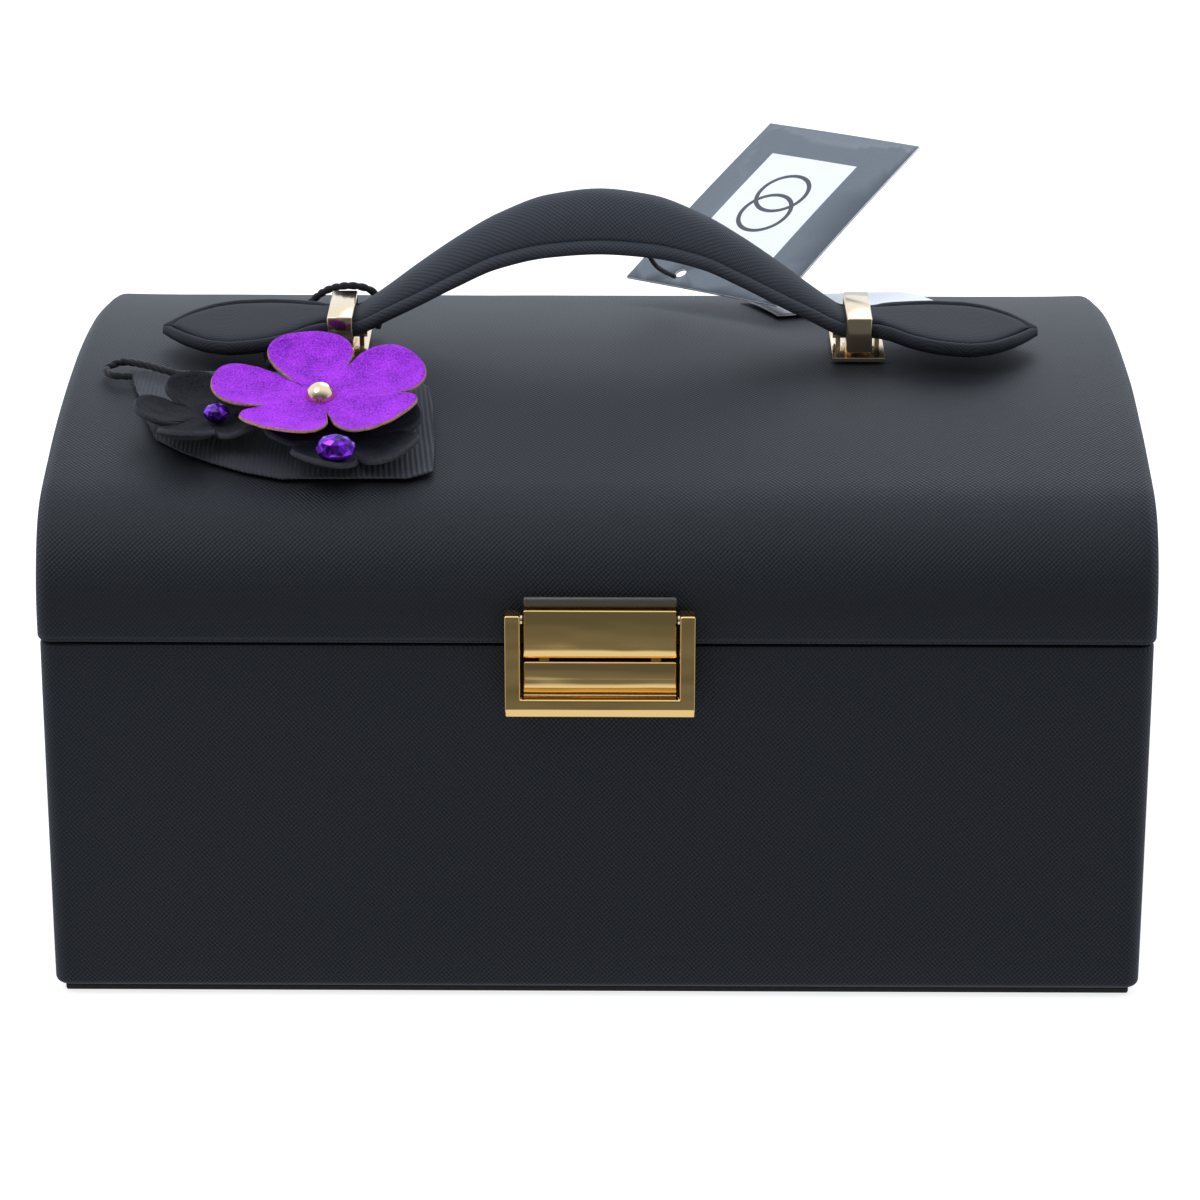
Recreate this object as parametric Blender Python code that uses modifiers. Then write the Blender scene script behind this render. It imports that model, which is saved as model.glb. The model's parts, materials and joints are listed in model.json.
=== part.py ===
"""Vaulted jewelry case with a carrying handle, a bail clasp, a lift-out tray and a flower charm.

Frame: +X to the right, +Y to the rear, +Z up, origin at the centre of the base board's underside.
Lengths below are in millimetres and are turned into metres by the helpers.
"""
import math

import bmesh
import bpy
from mathutils import Matrix, Vector

MM = 0.001
GAP = 0.3                      # clearance between pieces that touch

# Case and lid
CASE_W = 270.0                 # outer width, along X
CASE_D = 200.0                 # outer depth, along Y
BASE_T = 2.0                   # base board
SEAM_Z = 94.0                  # plane between case and lid
SEAM_HALF = 0.3                # half of the open line between the two covers
LID_OVERHANG = 0.5             # the lid stands proud of the case by this much all round
SKIN_T = 1.6                   # leatherette with its foam backing
CORNER_R = 4.0                 # rounding of the covered corners
FLOOR_T = 4.0                  # floor board
WALL_T = 6.0                   # wall boards
VAULT_T = 5.0                  # vault board of the lid
LINING_T = 1.5
CREST_Z = 137.3                # top of the lid
SHOULDER_Z = 99.0              # where the lid's upright front starts to curve
SHOULDER_R = 30.0              # radius of the lid's front and rear shoulders
VAULT_R = 333.6                # radius of the lid's broad arch

# Inside
LEDGE_TOP = 60.0
TRAY_W, TRAY_D, TRAY_TOP = 248.0, 178.0, 91.5
TRAY_WALL = 3.0
TRAY_CORNER = 3.6              # more than the wall, so that the inside is round too
DIVIDER_T = 3.0
MIRROR_Z = 112.0

# Hinges
HINGE_Y = 103.0
HINGE_X = 80.0                 # centre of each hinge from the middle
HINGE_LEN = 36.0
KNUCKLE_R, HINGE_BORE_R, HINGE_PIN_R = 2.1, 1.2, 0.9
LEAF_T = 1.2

# Clasp
CLASP_X = 0.9                  # the clasp sits a little right of the middle
PLATE_HALF_W = 18.4
BAIL_HALF_W = 23.0
BAIL_ARM_W = 3.8
BAIL_TOP = 103.8
BAIL_PIN_Y, BAIL_PIN_Z = -103.4, 101.8

# Handle
RING_X = 66.5                  # centre of each ring from the middle
RING_W, RING_D = 6.6, 24.0
RING_Z0, RING_Z1 = 139.7, 149.2
RING_BAND = 1.2
RING_BAR = 2.6
RING_PIN_Z = 141.0
RING_BORE_R, RING_PIN_R = 1.0, 0.7

# Charm
CHARM_AXIS_Y, CHARM_AXIS_Z = -20.5, 138.5
FLOWER_C = Vector((-68.8, -52.0, 140.3))
FLOWER_R = 27.0
FLOWER_TILT = math.radians(10)
CORD_D = 2.0

# Hang tag
TAG_W, TAG_H, TAG_T = 53.0, 69.0, 0.6
TAG_CORNER = Vector((6.8, 61.9, 137.8))
TAG_TURN = Vector((0.42, -0.219, -0.705))   # rotation vector, radians
STRING_D = 1.3
LEAFLET_CORNER, LEAFLET_TURN = Vector((47.0, 31.5)), math.radians(20)
LEAFLET_W, LEAFLET_H = 48.0, 28.0


# ---------------------------------------------------------------- helpers

def collection(name):
    made = bpy.data.collections.new(name)
    bpy.context.scene.collection.children.link(made)
    return made


def material(name, color, roughness, metallic=0.0):
    made = bpy.data.materials.new(name)
    made.use_nodes = True
    shader = made.node_tree.nodes["Principled BSDF"]
    shader.inputs["Base Color"].default_value = (*color, 1.0)
    shader.inputs["Roughness"].default_value = roughness
    shader.inputs["Metallic"].default_value = metallic
    return made


def add(name, mesh, look, group=None):
    obj = bpy.data.objects.new(name, mesh)
    (group or PARTS).objects.link(obj)
    if look is not None:
        own = material(name, *LOOKS[look])
        obj.data.materials.append(own)
    return obj


def as_mesh(name, bm):
    mesh = bpy.data.meshes.new(name)
    bmesh.ops.recalc_face_normals(bm, faces=bm.faces)
    bm.to_mesh(mesh)
    bm.free()
    return mesh


def block(name, look, x, y, z, group=None, bevel=0.0, segments=2):
    """A box between two limits on each axis, with its origin at its centre."""
    size = [(b - a) * MM for a, b in (x, y, z)]
    centre = [(a + b) * MM / 2 for a, b in (x, y, z)]
    bm = bmesh.new()
    bmesh.ops.create_cube(bm, size=1.0)
    bmesh.ops.scale(bm, vec=size, verts=bm.verts)
    obj = add(name, as_mesh(name, bm), look, group)
    obj.location = centre
    if bevel:
        round_edges(obj, bevel, segments)
    return obj


def rod(name, look, centre, radius, length, axis="X", sides=20, group=None):
    bm = bmesh.new()
    bmesh.ops.create_cone(bm, cap_ends=True, segments=sides, radius1=radius * MM,
                          radius2=radius * MM, depth=length * MM)
    obj = add(name, as_mesh(name, bm), look, group)
    if axis == "X":
        obj.rotation_euler = (0, math.pi / 2, 0)
    obj.location = [c * MM for c in centre]
    obj.data.shade_smooth()
    obj.data.set_sharp_from_angle(angle=math.radians(40))
    return obj


def round_edges(obj, width, segments=2):
    mod = obj.modifiers.new("rounded", "BEVEL")
    mod.width = width * MM
    mod.segments = segments
    mod.limit_method = "ANGLE"
    mod.angle_limit = math.radians(40)


def thicken(obj, thickness):
    """Give an open surface its thickness, inward."""
    mod = obj.modifiers.new("thickness", "SOLIDIFY")
    mod.thickness = thickness * MM
    mod.offset = -1.0
    mod.use_even_offset = True


def boolean(obj, tool, operation):
    tool.hide_render = True
    tool.display_type = "WIRE"
    mod = obj.modifiers.new(operation.lower(), "BOOLEAN")
    mod.operation = operation
    mod.object = tool


def outline(name, look, points, thickness, place, group=None):
    """A flat plate cut to an outline: points are in the plate's own plane, place puts it."""
    curve = bpy.data.curves.new(name, "CURVE")
    curve.dimensions = "2D"
    curve.fill_mode = "BOTH"
    curve.extrude = thickness * MM / 2
    spline = curve.splines.new("POLY")
    spline.points.add(len(points) - 1)
    for at, (u, v) in zip(spline.points, points):
        at.co = (u * MM, v * MM, 0, 1)
    spline.use_cyclic_u = True
    shape = bpy.data.objects.new(name + "_outline", curve)
    CUTTERS.objects.link(shape)
    bpy.context.view_layer.update()
    evaluated = shape.evaluated_get(bpy.context.evaluated_depsgraph_get())
    mesh = bpy.data.meshes.new_from_object(evaluated)
    bm = bmesh.new()
    bm.from_mesh(mesh)
    bmesh.ops.remove_doubles(bm, verts=bm.verts, dist=0.00001)
    bpy.data.objects.remove(shape)
    obj = add(name, as_mesh(name, bm), look, group)
    obj.matrix_world = place
    return obj


def side_plate(name, look, points_yz, x0, x1, group=None):
    """A profile in the YZ plane, carried along X."""
    centre = (x0 + x1) / 2
    turn = Matrix(((0, 0, 1, centre * MM), (1, 0, 0, 0), (0, 1, 0, 0), (0, 0, 0, 1)))
    return outline(name, look, points_yz, x1 - x0, turn, group)


def loft(name, look, rings):
    """Skin a row of closed rings, each a list of points, and cap its two ends."""
    bm = bmesh.new()
    rows = [[bm.verts.new(Vector(p) * MM) for p in ring] for ring in rings]
    count = len(rings[0])
    for low, high in zip(rows, rows[1:]):
        for i in range(count):
            j = (i + 1) % count
            bm.faces.new((low[i], low[j], high[j], high[i]))
    bm.faces.new(rows[0])
    bm.faces.new(rows[-1])
    obj = add(name, as_mesh(name, bm), look)
    obj.data.shade_smooth()
    obj.data.set_sharp_from_angle(angle=math.radians(40))
    return obj


def smooth_path(points, spacing):
    """Points at an even spacing on a smooth curve through the given ones."""
    knots = [Vector(p) for p in points]
    knots = [2 * knots[0] - knots[1]] + knots + [2 * knots[-1] - knots[-2]]
    fine = []
    for a, b, c, d in zip(knots, knots[1:], knots[2:], knots[3:]):
        for step in range(24):
            t = step / 24
            fine.append(0.5 * ((2 * b) + (c - a) * t + (2 * a - 5 * b + 4 * c - d) * t * t
                               + (3 * b - a - 3 * c + d) * t ** 3))
    fine.append(knots[-2])
    total = sum((q - p).length for p, q in zip(fine, fine[1:]))
    count = max(2, round(total / spacing))
    even, want, gone = [fine[0]], total / count, 0.0
    for p, q in zip(fine, fine[1:]):
        run = (q - p).length
        while gone + run >= want * len(even) and len(even) < count:
            even.append(p.lerp(q, (want * len(even) - gone) / run))
        gone += run
    return even + [fine[-1]]


def cord(name, look, points, diameter):
    curve = bpy.data.curves.new(name, "CURVE")
    curve.dimensions = "3D"
    curve.bevel_depth = diameter * MM / 2
    curve.bevel_resolution = 2
    curve.use_fill_caps = True
    route = smooth_path(points, 2.5 * diameter)
    spline = curve.splines.new("POLY")
    spline.points.add(len(route) - 1)
    for at, p in zip(spline.points, route):
        at.co = (*(p * MM), 1)
    obj = bpy.data.objects.new(name, curve)
    PARTS.objects.link(obj)
    curve.materials.append(material(name, *LOOKS[look]))
    return obj


def on_axis(name, at, children):
    """Parent the pieces of a moving body to an empty on its joint's axis."""
    pivot = bpy.data.objects.new(name, None)
    PARTS.objects.link(pivot)
    pivot.location = [c * MM for c in at]
    bpy.context.view_layer.update()
    for child in children:
        child.parent = pivot
        child.matrix_parent_inverse = pivot.matrix_world.inverted()
    return pivot


# ---------------------------------------------------------------- the case

def arc(centre, radius, start, end, steps):
    """Points on an arc in the YZ plane, angles in degrees from +Y towards +Z."""
    span = [math.radians(start + (end - start) * i / steps) for i in range(steps + 1)]
    return [(centre[0] + radius * math.cos(a), centre[1] + radius * math.sin(a)) for a in span]


def vault(inset, bottom, shoulder_steps=7, crest_steps=8):
    """The lid's side outline, a given distance inside its outer face, from front to rear."""
    half = CASE_D / 2 + LID_OVERHANG
    shoulder_y = half - SHOULDER_R
    crest_c = CREST_Z - VAULT_R
    lean = math.degrees(math.atan2(SHOULDER_Z - crest_c, shoulder_y))
    front = arc((-shoulder_y, SHOULDER_Z), SHOULDER_R - inset, 180, 180 - lean, shoulder_steps)
    crest = arc((0, crest_c), VAULT_R - inset, 180 - lean, lean, crest_steps)
    rear = arc((shoulder_y, SHOULDER_Z), SHOULDER_R - inset, lean, 0, shoulder_steps)
    return [(-half + inset, bottom)] + front + crest[1:-1] + rear + [(half - inset, bottom)]


def lid_top(y):
    """Height of the lid's outer face at a given depth."""
    half = CASE_D / 2 + LID_OVERHANG
    edge = (half - SHOULDER_R) * VAULT_R / (VAULT_R - SHOULDER_R)
    if abs(y) <= edge:
        return CREST_Z - VAULT_R + math.sqrt(VAULT_R ** 2 - y * y)
    reach = abs(y) - (half - SHOULDER_R)
    return SHOULDER_Z + math.sqrt(max(SHOULDER_R ** 2 - reach ** 2, 0))


def open_box(name, look, half_x, half_y, z0, z1, wall, corner, segments=3):
    """A box without a lid, its upright and lower edges rounded."""
    obj = block(name, look, (-half_x, half_x), (-half_y, half_y), (z0, z1))
    bm = bmesh.new()
    bm.from_mesh(obj.data)
    bmesh.ops.delete(bm, geom=[f for f in bm.faces if f.normal.z > 0.9], context="FACES_ONLY")
    bm.to_mesh(obj.data)
    bm.free()
    round_edges(obj, corner, segments)
    thicken(obj, wall)
    return obj


def make_case():
    half_w, half_d = CASE_W / 2, CASE_D / 2
    rim = SEAM_Z - SEAM_HALF
    block("base_board", "board", (-half_w + 2.5, half_w - 2.5), (-half_d + 2.5, half_d - 2.5),
          (0, BASE_T), bevel=0.6)
    skin_z = BASE_T + GAP
    open_box("case_cover", "leatherette", half_w, half_d, skin_z, rim, SKIN_T, CORNER_R)
    floor_z = skin_z + SKIN_T + GAP
    wall_x = half_w - SKIN_T - GAP
    wall_y = half_d - SKIN_T - GAP
    end_x = wall_x - 2.4           # clear of the skin's inner corner
    block("case_floor_board", "board", (-end_x, end_x), (-wall_y + 2.4, wall_y - 2.4),
          (floor_z, floor_z + FLOOR_T))
    wall_z = (floor_z + FLOOR_T + GAP, rim - GAP)
    block("case_front_board", "board", (-end_x, end_x), (-wall_y, -wall_y + WALL_T), wall_z)
    block("case_back_board", "board", (-end_x, end_x), (wall_y - WALL_T, wall_y), wall_z)
    side_y = wall_y - WALL_T - GAP
    block("case_left_board", "board", (-wall_x, -wall_x + WALL_T), (-side_y, side_y), wall_z)
    block("case_right_board", "board", (wall_x - WALL_T, wall_x), (-side_y, side_y), wall_z)
    lining_x = wall_x - WALL_T - GAP
    open_box("case_lining", "velvet", lining_x, side_y, wall_z[0], rim - 0.7, LINING_T, 1.2, 1)
    inner_x = lining_x - LINING_T - GAP
    inner_y = side_y - LINING_T - GAP
    inner_z = wall_z[0] + LINING_T + GAP
    for side, name in ((-1, "left"), (1, "right")):
        near, far = sorted((side * inner_x, side * (inner_x - 4.0)))
        block("tray_ledge_" + name, "velvet", (near, far), (-inner_y + 1, inner_y - 1),
              (LEDGE_TOP - 4.0, LEDGE_TOP), bevel=0.5, segments=1)
    split_y = 12.0
    divider_z = (inner_z, LEDGE_TOP - 8.0)
    block("divider_long", "velvet", (-inner_x, inner_x), (split_y, split_y + DIVIDER_T),
          divider_z, bevel=0.6)
    for side, name in ((-1, "left"), (1, "right")):
        middle = side * 42.0
        block("divider_cross_" + name, "velvet", (middle - DIVIDER_T / 2, middle + DIVIDER_T / 2),
              (-inner_y, split_y - GAP), divider_z, bevel=0.6)


def make_lid():
    half_w = CASE_W / 2 + LID_OVERHANG
    rim = SEAM_Z + SEAM_HALF
    skin = side_plate("lid_cover", "leatherette", vault(0, rim), -half_w, half_w)
    bm = bmesh.new()
    bm.from_mesh(skin.data)
    low = min(v.co.y for v in bm.verts)
    under = [f for f in bm.faces if all(v.co.y < low + 0.00001 for v in f.verts)]
    bmesh.ops.delete(bm, geom=under, context="FACES_ONLY")
    bmesh.ops.dissolve_limit(bm, angle_limit=0.001, verts=bm.verts, edges=bm.edges)
    bm.to_mesh(skin.data)
    bm.free()
    round_edges(skin, CORNER_R, 3)
    thicken(skin, SKIN_T)
    skin.data.shade_smooth()
    end_x = half_w - SKIN_T - GAP
    board_in = SKIN_T + GAP
    vault_x = end_x - WALL_T - GAP
    outer = vault(board_in, rim + GAP)
    inner = vault(board_in + VAULT_T, rim + GAP)
    pieces = [skin, side_plate("lid_vault_board", "board", outer + inner[::-1], -vault_x, vault_x)]
    for side, name in ((-1, "left"), (1, "right")):
        near, far = sorted((side * end_x, side * (end_x - WALL_T)))
        pieces.append(side_plate("lid_end_board_" + name, "board", vault(board_in + 2.5, rim + GAP),
                                 near, far))
    pieces.append(block("lid_lining", "velvet", (-126.5, 126.5), (-83.5, 83.5),
                        (MIRROR_Z + 3.0, MIRROR_Z + 5.0), bevel=0.6))
    frame = block("mirror_frame", "gold", (-100, 100), (-60, 60), (MIRROR_Z, MIRROR_Z + 2.7),
                  bevel=0.5)
    window = block("mirror_window", None, (-95.7, 95.7), (-55.7, 55.7),
                   (MIRROR_Z - 2, MIRROR_Z + 6), CUTTERS)
    boolean(frame, window, "DIFFERENCE")
    glass = block("mirror_glass", "mirror", (-95.4, 95.4), (-55.4, 55.4),
                  (MIRROR_Z + 0.5, MIRROR_Z + 2.5))
    return pieces + [frame, glass]


def make_tray():
    half_x, half_y = TRAY_W / 2, TRAY_D / 2
    z0 = LEDGE_TOP + GAP
    shell = open_box("tray_shell", "velvet", half_x, half_y, z0, TRAY_TOP, TRAY_WALL, TRAY_CORNER, 4)
    in_x, in_y = half_x - TRAY_WALL - GAP, half_y - TRAY_WALL - GAP
    floor = z0 + TRAY_WALL + GAP
    split = 26.0
    long = block("tray_divider_long", "velvet", (-in_x, in_x), (split, split + DIVIDER_T),
                 (floor, TRAY_TOP - 3), bevel=0.6)
    cross = block("tray_divider_cross", "velvet", (-DIVIDER_T / 2, DIVIDER_T / 2),
                  (-in_y, split - GAP), (floor, TRAY_TOP - 3), bevel=0.6)
    pad_y = (split + DIVIDER_T + GAP, in_y)
    rolls, slot = 4, 1.4
    pitch = (pad_y[1] - pad_y[0] + slot) / rolls
    profile = [(pad_y[0], floor)]
    for i in range(rolls):
        middle = pad_y[0] + pitch * i + (pitch - slot) / 2
        radius = (pitch - slot) / 2
        profile += [(y, z) for y, z in arc((middle, TRAY_TOP - 14), radius, 180, 0, 6)]
        if i < rolls - 1:
            profile += [(middle + radius, floor + 7), (middle + radius + slot, floor + 7)]
    profile.append((pad_y[1], floor))
    pad = side_plate("ring_pad", "velvet", profile, -in_x + 1.5, in_x - 1.5)
    tabs = []
    for side, name in ((-1, "left"), (1, "right")):
        near, far = sorted((side * in_x, side * (in_x - 0.8)))
        tabs.append(block("tray_tab_" + name, "ribbon", (near, far), (-26, -10),
                          (floor + 10, TRAY_TOP + 4.5)))
    return [shell, long, cross, pad] + tabs


# ---------------------------------------------------------------- hinges and clasp

def hinge_leaf(name, x, y, plate_z, neck_z, knuckles):
    """A plate with its knuckles on the hinge's axis, bored for the pin."""
    leaf = block(name, "gold", (x - HINGE_LEN / 2, x + HINGE_LEN / 2), (y, y + LEAF_T), plate_z)
    for number, (a, b) in enumerate(knuckles):
        centre = (x + (a + b) / 2, HINGE_Y, SEAM_Z)
        barrel = rod(f"{name}_barrel_{number}", None, centre, KNUCKLE_R, b - a, group=CUTTERS)
        neck = block(f"{name}_neck_{number}", None, (x + a, x + b), (y, y + LEAF_T), neck_z, CUTTERS)
        boolean(leaf, neck, "UNION")
        boolean(leaf, barrel, "UNION")
    bore = rod(name + "_bore", None, (x, HINGE_Y, SEAM_Z), HINGE_BORE_R, HINGE_LEN + 4,
               group=CUTTERS)
    boolean(leaf, bore, "DIFFERENCE")
    return leaf


def make_hinges():
    third = HINGE_LEN / 6
    half = HINGE_LEN / 2
    case_y = CASE_D / 2 + GAP
    lid_y = case_y + LID_OVERHANG
    moving = []
    for side, name in ((-1, "left"), (1, "right")):
        x = side * HINGE_X
        hinge_leaf("hinge_case_leaf_" + name, x, case_y, (SEAM_Z - 16, SEAM_Z - 2.5),
                   (SEAM_Z - 4, SEAM_Z), ((-half, -third - 0.15), (third + 0.15, half)))
        moving.append(hinge_leaf("hinge_lid_leaf_" + name, x, lid_y, (SEAM_Z + 2.6, SEAM_Z + 16),
                                 (SEAM_Z, SEAM_Z + 4), ((-third + 0.15, third - 0.15),)))
        rod("hinge_pin_" + name, "gold", (x, HINGE_Y, SEAM_Z), HINGE_PIN_R, HINGE_LEN, sides=16)
    return moving


def make_clasp():
    near, far = CLASP_X - PLATE_HALF_W, CLASP_X + PLATE_HALF_W
    plate = side_plate("clasp_plate", "gold",
                       [(-100.8, 91.6), (-103.0, 91.6), (-104.0, 94.2), (-104.0, 103.8),
                        (-103.6, 104.2), (-100.8, 104.2)], near, far)
    side_plate("catch_plate", "gold",
               [(-100.3, 81.3), (-102.6, 81.3), (-103.6, 83.3), (-103.6, 90.7),
                (-103.2, 91.1), (-100.3, 91.1)], near, far)
    strip = block("clasp_strip", "dark_metal", (near, far), (-102.3, -100.8), (104.5, 106.8),
                  bevel=0.4)
    backing = block("clasp_backing", "steel", (near + 2.4, far - 2.4), (-93.2, -91.8), (95.2, 99.8))
    pins = []
    for side, name in ((-1, "left"), (1, "right")):
        middle = CLASP_X + side * (PLATE_HALF_W + GAP + 1.5)
        pins.append(rod("clasp_pin_" + name, "gold", (middle, BAIL_PIN_Y, BAIL_PIN_Z), 1.2, 3.0))
    bail = side_plate("clasp_bail", "gold",
                      [(-104.0, 77.3), (-105.8, 77.3), (-106.8, 79.4), (-106.8, 82.3),
                       (-104.0, 82.3)], CLASP_X - BAIL_HALF_W, CLASP_X + BAIL_HALF_W)
    for side, name in ((-1, "left"), (1, "right")):
        near, far = sorted(CLASP_X + side * reach for reach in (BAIL_HALF_W, BAIL_HALF_W - BAIL_ARM_W))
        arm = block("bail_arm_" + name, None, (near, far), (-106.8, -101.8), (79.4, BAIL_TOP), CUTTERS)
        boolean(bail, arm, "UNION")
        inner = CLASP_X + side * (BAIL_HALF_W - BAIL_ARM_W - 1)
        hole = rod("bail_bore_" + name, None, (inner + side * 1.5, BAIL_PIN_Y, BAIL_PIN_Z), 1.5,
                   4.6, group=CUTTERS)
        boolean(bail, hole, "DIFFERENCE")
    return [plate, strip, backing] + pins, [bail]


# ---------------------------------------------------------------- handle

def ring_base(name, x):
    base = block(name, "gold", (x - 6.75, x + 6.75), (-RING_D / 2, RING_D / 2),
                 (CREST_Z + GAP, CREST_Z + 1.3))
    for side in (-1, 1):
        near, far = sorted((x + side * 4.4, x + side * 5.6))
        ear = block(f"{name}_ear_{side + 1}", None, (near, far), (-2.4, 2.4),
                    (CREST_Z + 0.8, RING_PIN_Z + 1.45), CUTTERS)
        boolean(base, ear, "UNION")
    bore = rod(name + "_bore", None, (x, 0, RING_PIN_Z), RING_BORE_R, 16, group=CUTTERS)
    boolean(base, bore, "DIFFERENCE")
    return base


def handle_ring(name, x):
    ring = block(name, "gold", (x - RING_W / 2, x + RING_W / 2), (-RING_D / 2, RING_D / 2),
                 (RING_Z0, RING_Z1), bevel=0.5)
    inside = RING_D / 2 - RING_BAND
    hole = block(name + "_hole", None, (x - 8, x + 8), (-inside, inside),
                 (RING_Z0 + RING_BAR, RING_Z1 - RING_BAND), CUTTERS)
    boolean(ring, hole, "DIFFERENCE")
    bore = rod(name + "_bore", None, (x, 0, RING_PIN_Z), RING_BORE_R, 16, group=CUTTERS)
    boolean(ring, bore, "DIFFERENCE")
    return ring


# Half of the strap, from its middle outward: distance, underside, top, half width.
STRAP = ((0, 165.7, 179.8, 12.5), (13, 164.8, 178.2, 12.5), (26, 161.7, 173.2, 12.3),
         (36, 157.0, 167.3, 11.9), (46.7, 151.3, 159.8, 11.4), (55, 147.0, 153.4, 10.8),
         (60.5, 144.0, 149.4, 10.3), (63, 143.1, 147.6, 10.2), (70, 142.9, 147.4, 10.2),
         (73, 142.9, 147.0, 12.0), (80, 142.0, 146.0, 16.8), (88, 141.3, 145.2, 19.6),
         (94, 141.0, 144.8, 20.0), (100, 141.0, 144.6, 18.0), (106, 141.0, 144.4, 12.8),
         (110, 141.0, 144.0, 7.2), (113, 141.3, 143.4, 2.0))


def strap_ring(x, low, high, half):
    """A rounded section across the strap."""
    middle, rise = (low + high) / 2, (high - low) / 2
    ring = []
    for i in range(14):
        a = math.tau * i / 14
        c, s = math.cos(a), math.sin(a)
        ring.append((x, half * math.copysign(abs(c) ** 0.55, c),
                     middle + rise * math.copysign(abs(s) ** 0.55, s)))
    return ring


def make_handle():
    left = [strap_ring(-x, *rest) for x, *rest in STRAP[:0:-1]]
    right = [strap_ring(x, *rest) for x, *rest in STRAP]
    strap = loft("handle_strap", "leatherette", left + right)
    rings, fixed = [], []
    for side, name in ((-1, "left"), (1, "right")):
        x = side * RING_X
        rings.append(handle_ring("handle_ring_" + name, x))
        fixed.append(ring_base("ring_base_" + name, x))
        fixed.append(rod("ring_pin_" + name, "gold", (x, 0, RING_PIN_Z), RING_PIN_R, 12.6, sides=16))
    return fixed, [strap] + rings


# ---------------------------------------------------------------- charm and tag

def petals(radius, count, depth, turn, steps=8):
    """The outline of a flower with round petals."""
    points = []
    for i in range(count * steps):
        a = math.tau * i / (count * steps)
        swell = abs(math.cos(count * a / 2)) ** 0.5
        r = radius * (1 - depth + depth * swell)
        points.append((r * math.cos(a + turn), r * math.sin(a + turn)))
    return points


def flower(name, look, centre, radius, tilt, thickness, count=5, depth=0.4, turn=math.pi / 2):
    place = Matrix.Translation(centre * MM) @ Matrix.Rotation(tilt, 4, "X")
    return outline(name, look, petals(radius, count, depth, turn), thickness, place)


def ball(name, look, centre, radii, around=8, up=6):
    """A faceted ellipsoid."""
    bm = bmesh.new()
    bmesh.ops.create_uvsphere(bm, u_segments=around, v_segments=up, radius=MM)
    bmesh.ops.scale(bm, vec=radii, verts=bm.verts)
    obj = add(name, as_mesh(name, bm), look)
    obj.location = centre * MM
    return obj


# The ribbon patch: depth, left edge, right edge, from the rear edge to the front one.
PATCH = ((-21.5, -119.5, -109.5), (-23.6, -119.0, -48.0), (-32, -117.0, -43.0),
         (-42, -114.5, -41.5), (-52, -112.0, -41.0), (-61, -109.0, -40.5), (-67, -102.0, -40.2),
         (-72, -94.0, -40.0), (-76, -86.0, -40.0), (-79, -77.0, -46.0))


def make_charm():
    rings = []
    for y, left, right in PATCH:
        z = lid_top(y) + 0.5
        rings.append([(left, y, z), (right, y, z), (right, y, z + 1.2), (left, y, z + 1.2)])
    pieces = [loft("charm_patch", "grosgrain", rings)]
    pieces.append(flower("charm_dark_flower_left", "dark_suede", Vector((-97, -56, 136.0)), 15,
                         math.radians(9.5), 1.4))
    pieces.append(flower("charm_dark_flower_right", "dark_suede", Vector((-62, -64, 134.0)), 18,
                         math.radians(12), 1.4))
    pieces.append(flower("charm_flower", "purple_suede", FLOWER_C, FLOWER_R, FLOWER_TILT, 1.8,
                         turn=math.pi / 2 + 0.15))
    bead = ball("charm_bead", "gold", FLOWER_C + Vector((0, -1, 1.9)), (3.4, 3.4, 3.4), 16, 10)
    bm = bmesh.new()
    bm.from_mesh(bead.data)
    half = bmesh.ops.bisect_plane(bm, geom=bm.verts[:] + bm.edges[:] + bm.faces[:],
                                  plane_co=(0, 0, 0), plane_no=(0, 0, -1), clear_outer=True)
    bmesh.ops.holes_fill(bm, edges=[e for e in half["geom_cut"] if isinstance(e, bmesh.types.BMEdge)])
    bm.to_mesh(bead.data)
    bm.free()
    pieces.append(bead)
    pieces.append(ball("charm_stone_left", "stone", Vector((-94, -60.5, 139.4)), (3.4, 3.0, 2.7)))
    pieces.append(ball("charm_stone_right", "stone", Vector((-63.4, -80.2, 135.8)), (5.0, 3.8, 3.3)))
    tip = [(-102.0, -31.0, 139.0), (-109.5, -26.8, 139.5), (-116.0, -22.2, 139.7),
           (-121.6, -19.0, 139.3), (-125.4, -22.2, 138.6), (-123.4, -26.8, 138.4),
           (-118.2, -28.6, 138.6)]
    pieces.append(cord("charm_tip_cord", "cord", tip, CORD_D))
    return pieces


# Route of the cord that ties the charm to the handle, under the leaf and up behind the ring.
HANDLE_CORD = ((-84.0, -19.0, 138.5), (-85.5, -8.0, 138.8), (-84.0, 6.0, 138.8),
               (-80.0, 16.8, 139.6), (-76.0, 20.0, 143.6), (-71.5, 17.4, 147.6),
               (-65.6, 14.6, 149.6), (-60.2, 14.2, 148.6), (-57.2, 14.6, 144.8),
               (-57.6, 13.2, 141.2), (-58.4, 11.6, 139.0))

STRING = ((9.0, 14.6, 166.0), (11.2, 19.5, 159.5), (14.6, 30.0, 150.6), (19.6, 47.0, 142.6))


def tag_place():
    """Where the tag's own frame sits: X along its lower edge, Y up its height."""
    angle = TAG_TURN.length
    return Matrix.Translation(TAG_CORNER * MM) @ Matrix.Rotation(angle, 4, TAG_TURN.normalized())


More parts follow.
